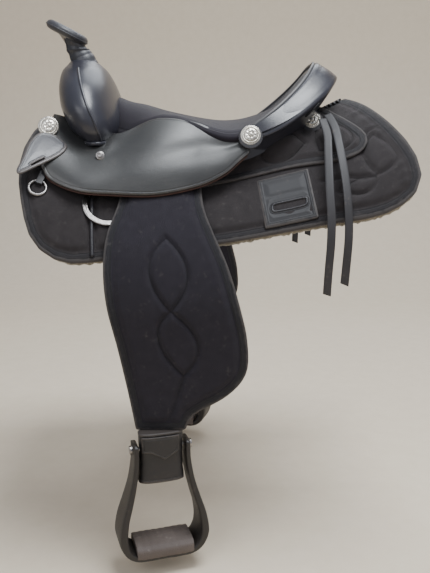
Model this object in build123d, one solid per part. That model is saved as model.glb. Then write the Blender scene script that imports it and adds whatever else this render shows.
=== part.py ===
from build123d import *
import math
import os

# Western saddle, in millimetres. +Z is up and X runs along the horse, with its head towards -X.
# The rider's left side is -Y, and XZ is the plane of symmetry. The origin is on that plane,
# in the channel over the horse's back, below the lowest point of the seat.

# The horse's side: a circular profile across the horse, turned about a high axis along Y.
MID_X = -66
RIDGE_Z = 44
ROCKER_RADIUS = 700
SIDE_RADIUS = 420
RIDGE_SLOPE = 15
SIDE_END = 78
ROCKER_SWEEP = 72

# Layers, as distances outward from the top of the skirt.
SKIRT = (-8, 0)
FLEECE = (-22, -8)
PLATE = (0, 4.5)
HOUSING = (4.8, 9.8)
BAR = (0, 24)
BAR_REAR = 150
LEG_LEATHER = (8.4, 11.6)
FENDER = (15, 19.4)
TAB = (22, 26)

# Swell and horn. Each swell level is height, centre X, half length and half width.
SWELL = [
    (48, -221, 36, 148),
    (75, -228, 47, 160),
    (110, -238, 52, 150),
    (145, -245, 50, 118),
    (172, -250, 43, 78),
    (190, -254, 28, 40),
]
LEATHER = 4
ARCH_RADIUS = 50
CAP_CENTRE = (-286.5, 0, 246)
CAP_TILT = 27
CAP_DIAMETER = 84
CAP_THICKNESS = 14
NECK_RADII = (24, 17, 18)

# Seat stations: X, height on the middle line, half width at the edge, height of the edge.
SEAT = [
    (-196, 128, 76, 52),
    (-165, 116, 108, 54),
    (-135, 110, 116, 70),
    (-100, 100, 119, 88),
    (-70, 93, 122, 89),
    (-40, 87, 132, 80),
    (-8, 82, 148, 67),
    (22, 80, 158, 60),
    (48, 81, 158, 61),
    (76, 89, 151, 66),
    (104, 99, 138, 74),
    (134, 116, 118, 92),
]
SEAT_THICKNESS = 14

# Cantle: sections turned about a vertical axis, each the angle and the (radius, height) of
# the inner foot, inner rim, outer rim and outer foot.
CANTLE_X = 9
CANTLE = [
    (0, (110, 76), (181, 189), (225, 168), (165, 80)),
    (28, (112, 66), (176, 155), (216, 134), (163, 62)),
    (55, (122, 50), (166, 98), (190, 78), (158, 48)),
    (72, (135, 44), (158, 64), (166, 54), (150, 42)),
]
CANTLE_FOOT = 34

# Seat jockey stations: X, then (distance from the middle plane, height) of its top edge,
# of a point half way down and of its lower edge.
JOCKEY = [
    (-304, (90, 56), (150, 30), (186, -2)),
    (-240, (104, 52), (172, 10), (214, -38)),
    (-180, (108, 56), (172, 14), (212, -44)),
    (-105, (116, 82), (170, 26), (208, -46)),
    (-30, (128, 74), (170, 24), (198, -32)),
    (30, (156, 48), (170, 26), (180, -2)),
    (60, (152, 50), (162, 40), (167, 28)),
]
JOCKEY_THICKNESS = 5

CONCHO_DIAMETER = 36
SCREW_DIAMETER = 15
FRONT_CONCHO_AT = (-305, 121, 26)
SEAT_CONCHO_AT = (64, 160, 62)
REAR_CONCHO_AT = (183, 80, 16)
SCREW_AT = (-206, 160, 40)

# Rings: outer diameter, then how thick the wire or band is.
BREAST_RING = (35, 5)
RIG_RING = (92, 10)
RIG_RING_THICKNESS = 5
BREAST_RING_AT = (-313, 201)
RIG_RING_AT = (-189, 200)
STRAP_PLY = 2.2
STRAP_GAP = 0.4
KEEPER_GAP = 1.4

# The leg: stirrup leather, fender, neck and stirrup, hanging from the bar.
LEG_X = -97
LEATHER_START = 35
LIFT_ANGLE = 46.5
LEAVE_ANGLE = 55
FENDER_START = 46.9
LEATHER_WIDTH = 62
FENDER_DROP = 292
FENDER_BOTTOM = -448
LEATHER_BOTTOM = -440
BUCKLE_TOP = -395
BUCKLE_THICKNESS = 2.4
NECK_YAW = 17
WRAP = (80, 34, 108)
WRAP_WALL = 4
WRAP_TOP = -452
BOLT_Z = -482
BOLT_DIAMETER = 8
ROLLER_DIAMETER = 14
STIRRUP_DEPTH = 66
STIRRUP_LEG_DEPTH = 38
STIRRUP_BOTTOM = -689
TREAD_THICKNESS = 25
TREAD_COVER = 3
TREAD_LENGTH = 92

# Saddle strings: width, and each route as points (X, Y, Z) from the rear rosette down.
STRING = 11
STRING_ROUTES = {
    "front": [
        (196, -124, 84),
        (203, -151, 62),
        (200, -181, 34),
        (198, -212, 0),
        (197, -238, -38),
        (199, -258, -80),
        (198, -267, -124),
        (195, -268, -168),
        (194, -265, -212),
    ],
    "rear": [
        (207, -110, 92),
        (217, -139, 74),
        (219, -170, 49),
        (222, -202, 17),
        (226, -229, -21),
        (228, -251, -63),
        (229, -262, -108),
        (226, -266, -152),
        (224, -263, -194),
    ],
}

ACROSS_U = -SIDE_RADIUS * math.sin(math.radians(RIDGE_SLOPE))
ACROSS_Z = RIDGE_Z - SIDE_RADIUS * math.cos(math.radians(RIDGE_SLOPE))
ROCKER_AXIS = Axis((MID_X, 0, RIDGE_Z + ROCKER_RADIUS), (0, 1, 0))


def save(name, shape):
    """Writes one node."""
    export_step(shape, f"parts/{name}.step")


def mirrored(shape):
    return mirror(shape, about=Plane.XZ)


def save_pair(name, shape):
    """Writes a left-hand node and its mirror image."""
    save(f"{name}_left", shape)
    save(f"{name}_right", mirrored(shape))


def cut(shape, *tools):
    """A shape without its tools: one solid, or a compound of what is left."""
    solids = shape.solids()
    for tool in tools:
        solids = [left for solid in solids for left in ShapeList([solid - tool]).solids()]
    return solids[0] if len(solids) == 1 else Compound(children=solids)


def largest(shape):
    """The biggest solid of a shape, without the scraps that a cut may leave."""
    return max(shape.solids(), key=lambda solid: solid.volume)


def both(shape):
    """A left-hand solid and its mirror image as one node."""
    return Compound(children=[*shape.solids(), *mirrored(shape).solids()])


def across(distance, angle):
    """A point of the profile across the horse, on the left, a distance out from the skirt."""
    radius = SIDE_RADIUS + distance
    turn = math.radians(angle)
    return (-(ACROSS_U + radius * math.sin(turn)), ACROSS_Z + radius * math.cos(turn))


def cross_plane(x):
    return Plane(origin=(x, 0, 0), x_dir=(0, 1, 0), z_dir=(1, 0, 0))


def side_point(x, u, distance):
    """The point at X and u from the middle plane, a distance out from the skirt, left side."""
    radius = SIDE_RADIUS + distance
    down = ACROSS_Z + math.sqrt(radius**2 - (u - ACROSS_U) ** 2)
    arm = ROCKER_RADIUS + RIDGE_Z - down
    return (x, -u, RIDGE_Z + ROCKER_RADIUS - math.sqrt(arm**2 - (x - MID_X) ** 2))


def side_plane(x, u, distance):
    """A plane on the left side with its normal outward and its X along the horse."""
    here = Vector(*side_point(x, u, distance))
    ahead = Vector(*side_point(x + 1, u, distance)) - here
    below = Vector(*side_point(x, u + 1, distance)) - here
    return Plane(origin=here, x_dir=ahead, z_dir=below.cross(ahead))


def layer(inner, outer, start=9, end=SIDE_END):
    """One layer over the left side of the horse."""
    middle = (start + end) / 2
    edges = [
        ThreePointArc(across(inner, start), across(inner, middle), across(inner, end)),
        Line(across(inner, end), across(outer, end)),
        ThreePointArc(across(outer, end), across(outer, middle), across(outer, start)),
        Line(across(outer, start), across(inner, start)),
    ]
    face = cross_plane(MID_X) * make_face(edges)
    return revolve(face.rotate(ROCKER_AXIS, -ROCKER_SWEEP / 2), ROCKER_AXIS, ROCKER_SWEEP)


def below(distance):
    """Everything under a layer: a solid for each side."""
    half = layer(-60, distance, start=8)
    return half, mirrored(half)


def side_view(curve_points, closing, nearest=1, furthest=420):
    """A prism along Y from a side view: a smooth edge through points, closed by straight lines."""
    edge = Spline(*curve_points)
    back = Polyline(curve_points[-1], *closing, curve_points[0])
    outline = Plane.XZ.offset(nearest) * make_face([edge, *back.edges()])
    return extrude(outline, furthest - nearest)


def polygon_view(points, nearest=1, furthest=420, corner=0):
    """A prism along Y from a straight-sided side view with rounded corners."""
    face = make_face(Polyline(*points, close=True).edges())
    if corner:
        face = fillet(face.vertices(), corner)
    return extrude(Plane.XZ.offset(nearest) * face, furthest - nearest)


def skirt_shape():
    edge = [
        (-300, 104),
        (-333, 71),
        (-348, 13),
        (-336, -54),
        (-311, -117),
        (-262, -149),
        (-195, -148),
        (-94, -134),
        (7, -122),
        (89, -108),
        (191, -88),
        (289, -68),
        (345, -28),
        (346, 24),
        (308, 83),
        (255, 130),
    ]
    return side_view(edge, [(255, 240), (-300, 240)])


def housing_shape():
    edge = [
        (-27, -35),
        (56, -19),
        (139, 0),
        (221, 14),
        (262, 32),
        (268, 59),
        (224, 93),
        (180, 120),
    ]
    return side_view(edge, [(180, 240), (-27, 240)])


def rigging_plate():
    outline = [(76, -26), (166, -4), (178, -80), (89, -99)]
    plate = layer(*PLATE) & polygon_view(outline, corner=6)
    slot = [(103, -75), (157, -62), (159.5, -51), (105.5, -64)]
    return plate - polygon_view(slot, corner=4)


def bar():
    outline = [(-284, -60), (BAR_REAR, -60), (BAR_REAR, 200), (-284, 200)]
    return layer(*BAR) & polygon_view(outline, nearest=40, furthest=122, corner=25)


def swell(shrink, base):
    """The swell as a loft of ellipses, its walls in by shrink, from a lower or higher base."""
    levels = [(base, *SWELL[0][1:]), *SWELL]
    top = len(levels) - 1
    rings = [
        Plane.XY.offset(z - (shrink if i == top else 0)) * Pos(x, 0) * Ellipse(a - shrink, b - shrink)
        for i, (z, x, a, b) in enumerate(levels)
    ]
    return loft(rings)


def arch():
    return Plane.YZ.offset(-330) * Pos(0, 60) * extrude(Circle(ARCH_RADIUS), 160)


def cap_plane(lift=0):
    return Plane(CAP_CENTRE) * Rot(0, CAP_TILT, 0) * Pos(0, 0, lift)


def horn_neck(grow):
    """The horn's neck, leaning forward into the cap."""
    foot, waist, head = (radius + grow for radius in NECK_RADII)
    rings = [
        Pos(-254, 0, 184) * Circle(foot),
        Pos(-268, 0, 214) * Circle(waist),
        cap_plane(-CAP_THICKNESS / 2) * Circle(head),
    ]
    return loft(rings)


def horn_parts(swell_solid):
    inner = CAP_DIAMETER / 2 - 3
    disc = cap_plane() * Cylinder(inner, CAP_THICKNESS - 6)
    neck = horn_neck(0)
    core = (neck + disc) - swell_solid
    cap = cap_plane() * fillet(Cylinder(CAP_DIAMETER / 2, CAP_THICKNESS).edges(), 5)
    cap_cover = cap - disc - neck
    wrap = horn_neck(3) - neck - swell_solid - cap
    save("horn_core", core)
    save("horn_cap_cover", cap_cover)
    save("horn_wrap", wrap)


def seat_section(x, top, half, edge, inset, depth):
    """A cross section of the seat: an arch over its edges, with straight sides below."""
    half = half - inset
    crown = (0, top - inset)
    rise = edge - inset * 0.6
    edges = [
        ThreePointArc((-half, rise), crown, (half, rise)),
        Polyline((half, rise), (half, edge - depth), (-half, edge - depth), (-half, rise)),
    ]
    return cross_plane(x) * make_face([e for part in edges for e in part.edges()])


def seat_body(inset, depth, beyond=0):
    """The seat's shape, in by inset, down to depth under its edges and a little beyond its ends."""
    stations = [list(station) for station in SEAT]
    stations[0][0] -= beyond
    stations[-1][0] += beyond
    return loft([seat_section(*station, inset, depth) for station in stations], ruled=True)


def cantle_section(angle, points, grow):
    inner_foot, inner_rim, outer_rim, outer_foot = points
    turn = Plane.XZ.rotated((0, 0, angle))
    outline = [
        (inner_foot[0] + grow, inner_foot[1] - CANTLE_FOOT),
        (inner_foot[0] + grow, inner_foot[1]),
        (inner_rim[0] + grow, inner_rim[1] - grow),
        (outer_rim[0] - grow, outer_rim[1] - grow),
        (outer_foot[0] - grow, outer_foot[1]),
        (outer_foot[0] - grow, outer_foot[1] - CANTLE_FOOT),
    ]
    return Pos(CANTLE_X, 0, 0) * turn * make_face(Polyline(*outline, close=True).edges())


def cantle(grow):
    """The cantle, its walls in by grow, from its left end round the back to its right end."""
    turns = [(-a, p) for a, *p in reversed(CANTLE)] + [(a, p) for a, *p in CANTLE[1:]]
    return loft([cantle_section(angle, points, grow) for angle, points in turns])


def jockey_section(x, top, middle, bottom):
    """A thin cross section of the jockey, following an arc down the side."""
    inward = JOCKEY_THICKNESS
    outer = [(-top[0], top[1]), (-middle[0], middle[1]), (-bottom[0], bottom[1])]
    inner = [
        (outer[0][0] + inward * 0.5, outer[0][1] - inward * 0.87),
        (outer[1][0] + inward * 0.7, outer[1][1] - inward * 0.7),
        (outer[2][0] + inward * 0.87, outer[2][1] - inward * 0.5),
    ]
    edges = [
        ThreePointArc(*outer),
        Line(outer[2], inner[2]),
        ThreePointArc(*reversed(inner)),
        Line(inner[0], outer[0]),
    ]
    return cross_plane(x) * make_face(edges)


def jockey():
    return loft([jockey_section(*station) for station in JOCKEY])


def concho_at(x, u, distance):
    """A domed silver disc on the left side."""
    radius = CONCHO_DIAMETER / 2
    disc = Cylinder(radius, 2.4) + Pos(0, 0, 1.2) * Cone(radius - 2, radius - 8, 2.6)
    return side_plane(x, u, distance).location * Pos(0, 0, 1.2) * disc


def rosette_at(x, u, distance, width):
    """A leather disc under a concho."""
    return side_plane(x, u, distance).location * Pos(0, 0, 1.25) * Cylinder(width / 2, 2.5)


def ring_on_side(x, u, distance, diameter, band, thickness):
    """A flat ring lying on the left side."""
    ring = Cylinder(diameter / 2, thickness) - Cylinder(diameter / 2 - band, thickness)
    ring = fillet(ring.edges(), thickness * 0.3)
    return side_plane(x, u, distance).location * Pos(0, 0, thickness / 2) * ring


def ring_plane(place, gap=STRAP_GAP):
    """The plane that a ring lies on, clear of the strap's ply under it."""
    return side_plane(*place, STRAP_PLY + gap + 0.2)


def rig_ring():
    diameter, band = RIG_RING
    ring = Cylinder(diameter / 2, RIG_RING_THICKNESS) - Cylinder(diameter / 2 - band, RIG_RING_THICKNESS)
    ring = fillet(ring.edges(), 1.6)
    return ring_plane(RIG_RING_AT).location * Pos(0, 0, RIG_RING_THICKNESS / 2) * ring


def breast_ring():
    diameter, wire = BREAST_RING
    ring = Torus((diameter - wire) / 2, wire / 2)
    return ring_plane(BREAST_RING_AT, KEEPER_GAP).location * Pos(0, 0, wire / 2) * ring


def holding_strap(place, ring, thickness, width, length, gap=STRAP_GAP):
    """A strap folded round the top of a ring: a ply under it, a ply over it and the fold."""
    diameter, band = ring
    fold = diameter / 2 - band - 6
    reach = length - fold
    middle = fold + reach / 2
    under = Pos(0, middle, -gap - STRAP_PLY / 2) * Box(width, reach, STRAP_PLY)
    over = Pos(0, middle, thickness + gap + STRAP_PLY / 2) * Box(width, reach, STRAP_PLY)
    height = thickness + 2 * (gap + STRAP_PLY)
    bend = Pos(0, fold + 1.5, thickness / 2) * Box(min(width, 12), 3, height)
    return ring_plane(place, gap).location * (under + over + bend)


def leg_point(distance, angle):
    """A point of the leg's line seen along the horse: over the skirt, then curving down."""
    if angle <= LEAVE_ANGLE:
        return across(distance, angle)
    start = across(FENDER[0], LEAVE_ANGLE)
    turn = math.radians(LEAVE_ANGLE)
    radius = (FENDER_DROP + start[0]) / (1 - math.sin(turn))
    centre_y = -FENDER_DROP + radius
    centre_z = start[1] - radius * math.cos(turn)
    reach = radius + distance - FENDER[0]
    turn = math.radians(angle)
    return (centre_y - reach * math.sin(turn), centre_z + reach * math.cos(turn))


def leg_ribbon(inner, outer, start, end, bottom=None):
    """A ribbon across the horse following the leg's line, extruded 400 either way."""

    def side(distance, first, last):
        arcs = []
        for a, b in ((first, min(last, LEAVE_ANGLE)), (LEAVE_ANGLE, last)):
            if b > a:
                arcs.append(ThreePointArc(*(leg_point(distance, t) for t in (a, (a + b) / 2, b))))
        return arcs

    edges = side(inner, start, end) + side(outer, start, end)
    edges.append(Line(leg_point(inner, start), leg_point(outer, start)))
    low_inner, low_outer = leg_point(inner, end), leg_point(outer, end)
    if bottom is None:
        edges.append(Line(low_inner, low_outer))
    else:
        foot_inner, foot_outer = (low_inner[0], bottom), (low_outer[0], bottom)
        edges += [Line(low_inner, foot_inner), Line(foot_inner, foot_outer), Line(foot_outer, low_outer)]
    return extrude(cross_plane(LEG_X) * make_face(edges), 200, both=True)


def upper_leather():
    """The stirrup leather from the bar to just below the jockey."""
    ribbon = leg_ribbon(*LEG_LEATHER, LEATHER_START, LIFT_ANGLE - 0.4)
    return ribbon & (Pos(LEG_X, 0, 0) * Box(LEATHER_WIDTH, 900, 900))


def lower_leather():
    """The stirrup leather behind the fender."""
    ribbon = leg_ribbon(*LEG_LEATHER, FENDER_START, 90, LEATHER_BOTTOM)
    return ribbon & (Pos(LEG_X, 0, 0) * Box(LEATHER_WIDTH, 900, 1800))


def fender():
    """The fender: a wide panel that narrows to the neck above the stirrup."""
    front = [(-160, -66), (-184, -110), (-189, -160), (-183, -225), (-166, -300), (-150, -380), (-138, -448)]
    rear = [(-54, -448), (-38, -420), (20, -385), (52, -345), (54, -290), (42, -232), (20, -160), (-8, -100), (-36, -66)]
    panel = make_face([Spline(*front), Line(front[-1], rear[0]), Spline(*rear), Line(rear[-1], front[0])])
    prism = extrude(Plane.XZ.offset(150) * panel, 250)
    return leg_ribbon(*FENDER, FENDER_START, 90, FENDER_BOTTOM) & prism


def buckle_parts():
    """The buckle plate with its two pins, and the sleeve that slides over it."""
    back_y = leg_point(LEG_LEATHER[0], 90)[0]
    plate = Pos(LEG_X, back_y + BUCKLE_THICKNESS / 2, BUCKLE_TOP - 20) * Box(52, BUCKLE_THICKNESS, 40)
    held = BUCKLE_THICKNESS + LEG_LEATHER[1] - LEG_LEATHER[0]
    middle_y = back_y + BUCKLE_THICKNESS - held / 2
    sleeve = Box(71, held + 4.6, 24) - Box(67, held + 0.8, 24)
    return plate, Pos(LEG_X, middle_y, BUCKLE_TOP - 18) * sleeve


def neck_frame():
    """The vertical axis that the neck and the stirrup turn about."""
    return Pos(LEG_X, leg_point(sum(FENDER) / 2, 90)[0], 0) * Rot(0, 0, NECK_YAW)


def hobble_wrap():
    width, depth, height = WRAP
    outer = fillet(Box(width, depth, height).edges().filter_by(Axis.Z), 9)
    inner = fillet(Box(width - 2 * WRAP_WALL, depth - 2 * WRAP_WALL, height).edges().filter_by(Axis.Z), 5)
    tube = Pos(0, 0, WRAP_TOP - height / 2) * (outer - inner)
    return tube - Pos(0, 0, BOLT_Z) * Rot(0, 90, 0) * Cylinder(BOLT_DIAMETER / 2 + 1, 200)


def leather_loop():
    """The stirrup leather's turn under the roller."""
    inner = ROLLER_DIAMETER / 2
    outer = inner + LEG_LEATHER[1] - LEG_LEATHER[0]
    width = 54
    top = WRAP_TOP - 3
    turn = Rot(0, 90, 0) * Cylinder(outer, width)
    rise = Pos(0, 0, (top - BOLT_Z) / 2) * Box(width, 2 * outer, top - BOLT_Z)
    hole = Rot(0, 90, 0) * Cylinder(inner, width)
    slot = Pos(0, 0, (top - BOLT_Z) / 2) * Box(width, 2 * inner, top - BOLT_Z)
    return Pos(0, 0, BOLT_Z) * (turn + rise - hole - slot)


def bolt_roller():
    return Pos(0, 0, BOLT_Z) * Rot(0, 90, 0) * (Cylinder(ROLLER_DIAMETER / 2, 54) - Cylinder(BOLT_DIAMETER / 2 + 0.05, 54))


def stirrup_bolt():
    shank = Cylinder(BOLT_DIAMETER / 2, 104)
    head = Pos(0, 0, 53.8) * Cylinder(8, 4)
    nut = Pos(0, 0, -53.8) * Cylinder(8, 4)
    return Pos(0, 0, BOLT_Z) * Rot(0, 90, 0) * (shank + head + nut)


def stirrup_parts():
    """The bell stirrup and the cover on its tread."""
    outer = [(51, BOLT_Z + 10), (51.2, -498), (62, -556), (78, -604), (82, -642), (76, -674), (60, STIRRUP_BOTTOM)]
    inner = [(42, BOLT_Z + 10), (42, -530), (50, -574), (62, -614), (65, -645), (54, STIRRUP_BOTTOM + TREAD_THICKNESS)]
    right = [
        Spline(*outer),
        Line(outer[-1], (0, STIRRUP_BOTTOM)),
        Line((0, STIRRUP_BOTTOM), (0, STIRRUP_BOTTOM + TREAD_THICKNESS)),
        Line((0, STIRRUP_BOTTOM + TREAD_THICKNESS), inner[-1]),
        Spline(*reversed(inner)),
        Line(inner[0], outer[0]),
    ]
    half = extrude(Plane.XZ * make_face(right), STIRRUP_DEPTH / 2, both=True)
    bell = half + mirror(half, about=Plane.YZ)
    top, wide, low = STIRRUP_LEG_DEPTH / 2, STIRRUP_DEPTH / 2, STIRRUP_BOTTOM
    side = Polyline((-top, BOLT_Z + 10), (-top, -540), (-wide, -645), (-wide, low), (wide, low), (wide, -645),
                    (top, -540), (top, BOLT_Z + 10), close=True)
    bell = bell & extrude(Plane.YZ * make_face(side.edges()), 120, both=True)
    middle = Pos(0, 0, STIRRUP_BOTTOM + TREAD_THICKNESS / 2)
    cover = middle * Box(TREAD_LENGTH, STIRRUP_DEPTH, TREAD_THICKNESS)
    bar_core = middle * Box(TREAD_LENGTH, STIRRUP_DEPTH - 2 * TREAD_COVER, TREAD_THICKNESS - 2 * TREAD_COVER)
    stirrup = bell - cover + bar_core
    stirrup = stirrup - Pos(0, 0, BOLT_Z) * Rot(0, 90, 0) * Cylinder(BOLT_DIAMETER / 2, 200)
    return stirrup, cover - bar_core


def string(name, route):
    """One flat saddle string as a tube along straight runs joined by arcs."""
    points = [Vector(*p) for p in route]
    runs = [b - a for a, b in zip(points, points[1:])]
    radii = []
    for first, second in zip(runs, runs[1:]):
        turn = math.radians(first.get_angle(second))
        radii.append(0.45 * min(first.length, second.length) / math.tan(turn / 2))
    path = FilletPolyline(*points, radius=radii)
    start = Plane(origin=path @ 0, z_dir=path % 0)
    tube = sweep(start * Circle(STRING / 2), path=path)
    ratio = tube.volume / (math.pi * STRING**2 / 4 * path.length)
    print(name, "radii", [round(r) for r in radii], "length", round(path.length), "volume ratio", round(ratio, 4))
    return tube


def front_tab():
    outline = [(-338, -4), (-276, 26), (-268, 40), (-292, 66), (-318, 62), (-336, 18)]
    slot = [(-325, 6), (-297, 17), (-296, 14), (-324, 3)]
    tab = layer(*TAB) & polygon_view(outline, corner=7)
    return tab - polygon_view(slot)


def skirt_lacing():
    """The lace that joins the skirts over the horse's spine, behind the cantle."""
    turns = []
    for x in (216, 226, 236, 246):
        z = side_point(x, 1, 0)[2]
        turns.append(Pos(x, 0, z + 2.2) * Rot(90, 0, 0) * Cylinder(2, 22))
    return Compound(children=turns)


def build_tree():
    """The bars, swell, horn, cantle, seat and everything fixed to them."""
    bar_left = bar()
    under_bars = below(BAR[1])
    swell_all = swell(0, SWELL[0][0])
    swell_inner = swell(LEATHER, 10)
    save_pair("bar", bar_left)
    save("fork", largest(cut(swell_inner, arch(), *under_bars)))
    bars = (bar_left, mirrored(bar_left))
    skirt_left = layer(*SKIRT) & skirt_shape()
    skirts = (skirt_left, mirrored(skirt_left))
    save("fork_cover", largest(cut(swell_all, swell_inner, arch(), *bars, *skirts)))
    horn_parts(swell_all)

    cantle_inner = cantle(LEATHER)
    cantle_all = cut(cantle(0), *under_bars)
    cantle_core = largest(cut(cantle_inner, *under_bars))
    save("cantle_core", cantle_core)
    save("cantle_cover", largest(cut(cantle_all, cantle_inner)))

    seat_inner = seat_body(SEAT_THICKNESS, 60, beyond=2)
    seat_outer = seat_body(0, 6)
    fixed = (swell_all, swell_inner, cantle_all, bar_left, cantle_core)
    save("ground_seat", largest(cut(seat_inner, *under_bars, *fixed[:3])))
    save("seat", largest(cut(seat_outer, seat_inner, *under_bars, *fixed[:3])))
    fixed += (seat_inner, seat_outer)
    jockey_left = largest(cut(jockey(), *fixed))
    save_pair("seat_jockey", jockey_left)

    save_pair("skirt", skirt_left)
    save_pair("fleece", layer(*FLEECE) & skirt_shape())
    housing = largest(cut(layer(*HOUSING) & housing_shape(), jockey_left, *fixed))
    save_pair("rear_housing", housing)
    save_pair("rear_rigging_plate", largest(cut(rigging_plate(), bar_left)))

    tab = largest(cut(front_tab(), jockey_left, *fixed))
    save("front_tabs", both(tab))
    build_fasteners(jockey_left, housing, tab, fixed)
    rig_strap = holding_strap(RIG_RING_AT, RIG_RING, RIG_RING_THICKNESS, 34, 110)
    save("rigging_straps", both(largest(cut(rig_strap, jockey_left, *fixed))))
    keeper = holding_strap(BREAST_RING_AT, BREAST_RING, BREAST_RING[1], 11, 34, KEEPER_GAP)
    save("ring_keepers", both(largest(cut(keeper, tab, jockey_left, bar_left))))
    save("skirt_lacing", skirt_lacing())


def build_fasteners(jockey_left, housing, tab, fixed):
    """The conchos on their rosettes and the jockey screws."""
    seat_rosette = cut(rosette_at(*SEAT_CONCHO_AT, 44), jockey_left, *fixed)
    rear_rosette = cut(rosette_at(*REAR_CONCHO_AT, 46), housing, jockey_left, *fixed)
    save("seat_rosettes", both(largest(seat_rosette)))
    save("rear_rosettes", both(largest(rear_rosette)))
    places = [FRONT_CONCHO_AT, SEAT_CONCHO_AT, REAR_CONCHO_AT]
    conchos = [concho_at(x, u, distance + (2.6 if i else 0.1)) for i, (x, u, distance) in enumerate(places)]
    conchos = [largest(cut(concho, jockey_left, tab, *fixed)) for concho in conchos]
    save("conchos", Compound(children=[s for concho in conchos for s in (concho, mirrored(concho))]))
    screw = Cylinder(SCREW_DIAMETER / 2, 2) + Pos(0, 0, 2) * Cylinder(4, 2.4)
    screw = side_plane(*SCREW_AT).location * screw
    save("jockey_screws", both(largest(cut(screw, jockey_left, *fixed))))


def build_leg():
    """The rings, the leathers, the fender, the neck and the stirrup."""
    save_pair("breast_ring", breast_ring())
    save_pair("rigging_ring", rig_ring())
    save_pair("stirrup_leather_upper", upper_leather())
    save_pair("stirrup_leather_lower", lower_leather())
    save_pair("fender", fender())
    plate, sleeve = buckle_parts()
    save_pair("buckle", plate)
    save_pair("buckle_sleeve", sleeve)
    frame = neck_frame()
    stirrup, tread = stirrup_parts()
    neck = {
        "hobble_wrap": hobble_wrap(),
        "leather_loop": leather_loop(),
        "bolt_roller": bolt_roller(),
        "stirrup": stirrup,
        "tread": tread,
        "stirrup_bolt": stirrup_bolt(),
    }
    for name, shape in neck.items():
        save_pair(name, frame * shape)


def build_strings():
    for name, route in STRING_ROUTES.items():
        save_pair(f"{name}_string", string(name, route))


if __name__ == "__main__":
    os.makedirs("parts", exist_ok=True)
    build_tree()
    build_leg()
    build_strings()
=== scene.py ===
import math

import bmesh
import bpy
import numpy as np
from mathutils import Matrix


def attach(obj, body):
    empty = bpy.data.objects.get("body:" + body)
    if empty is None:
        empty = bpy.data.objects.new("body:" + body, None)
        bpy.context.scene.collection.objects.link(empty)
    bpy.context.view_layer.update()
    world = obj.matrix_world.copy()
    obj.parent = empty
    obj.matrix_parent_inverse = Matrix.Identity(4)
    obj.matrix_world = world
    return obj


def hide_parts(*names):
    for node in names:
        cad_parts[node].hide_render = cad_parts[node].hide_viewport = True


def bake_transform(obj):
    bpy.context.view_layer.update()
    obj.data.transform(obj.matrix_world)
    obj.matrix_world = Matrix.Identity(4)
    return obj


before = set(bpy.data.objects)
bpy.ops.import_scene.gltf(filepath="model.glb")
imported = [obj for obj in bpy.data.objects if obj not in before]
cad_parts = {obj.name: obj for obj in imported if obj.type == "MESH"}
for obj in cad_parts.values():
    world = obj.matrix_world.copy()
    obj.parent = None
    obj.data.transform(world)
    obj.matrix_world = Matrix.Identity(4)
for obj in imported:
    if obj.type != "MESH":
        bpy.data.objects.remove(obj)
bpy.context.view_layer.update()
MM = 0.001

# The horse's side, in millimetres: a circle across the horse, turned about a high axis along Y.
MID_X, RIDGE_Z, ROCKER, SIDE_RADIUS = -66.0, 44.0, 700.0, 420.0
RIDGE_TURN = math.radians(15)
AXIS_Z = RIDGE_Z + ROCKER
ACROSS_U = -SIDE_RADIUS * math.sin(RIDGE_TURN)
ACROSS_Z = RIDGE_Z - SIDE_RADIUS * math.cos(RIDGE_TURN)
# The leg's line over the side and straight down.
LEG_X, NECK_YAW, BOLT_Z = -97.0, math.radians(17), -482.0
LEG_OFF, LEAVE_TURN, LEG_DROP = 17.2, math.radians(55), 292.0
SIDES = (("left", 1), ("right", -1))


# ---------------------------------------------------------------- curves and surfaces


def along(points):
    """The distance along a polyline at each of its points."""
    steps = np.linalg.norm(np.diff(points, axis=0), axis=1)
    return np.concatenate([[0.0], np.cumsum(steps)])


def even(points, count):
    """A polyline cut again into evenly spaced points."""
    reach = along(points)
    at = np.linspace(0, reach[-1], count)
    return np.stack([np.interp(at, reach, points[:, k]) for k in range(points.shape[1])], -1)


def curve(points, count, closed=False):
    """A smooth curve through points: a cubic between each pair, with the slope from its neighbours."""
    p = np.array(points, float)
    if closed:
        p = np.vstack([p[-1], p, p[0], p[1]])
    else:
        p = np.vstack([2 * p[0] - p[1], p, 2 * p[-1] - p[-2]])
    a, b, c, d = p[:-3], p[1:-2], p[2:-1], p[3:]
    t = np.linspace(0, 1, 24, endpoint=False)[:, None, None]
    q = 0.5 * (2 * b + (c - a) * t + (2 * a - 5 * b + 4 * c - d) * t**2 + (3 * b - a - 3 * c + d) * t**3)
    q = np.swapaxes(q, 0, 1).reshape(-1, p.shape[1])
    return even(np.vstack([q, p[-2]]), count)


def reading(table, x):
    """The columns of a table of stations, read smoothly at x: a cubic through the stations."""
    t = np.array(table, float)
    fine = curve(t, 400)
    order = np.argsort(fine[:, 0])
    return [np.interp(x, fine[order, 0], fine[order, k]) for k in range(1, t.shape[1])]


def bump(x, width):
    """One at nought, falling off as a bell."""
    return np.exp(-((x / width) ** 2))


def step(a, b, x):
    """Nought below a, one above b, and a smooth S between them."""
    t = np.clip((x - a) / (b - a), 0, 1)
    return t * t * (3 - 2 * t)


def side_place(x, s, h):
    """A point on the left side: x along the horse, s down the side from the ridge, h outward.
    The circle across the horse is turned about the rocker axis."""
    turn = RIDGE_TURN + s / SIDE_RADIUS
    radius = SIDE_RADIUS + h
    u, level = ACROSS_U + radius * np.sin(turn), ACROSS_Z + radius * np.cos(turn)
    z = AXIS_Z - np.sqrt((AXIS_Z - level) ** 2 - (x - MID_X) ** 2)
    return np.stack([x + 0 * u, -u, z], -1)


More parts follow.
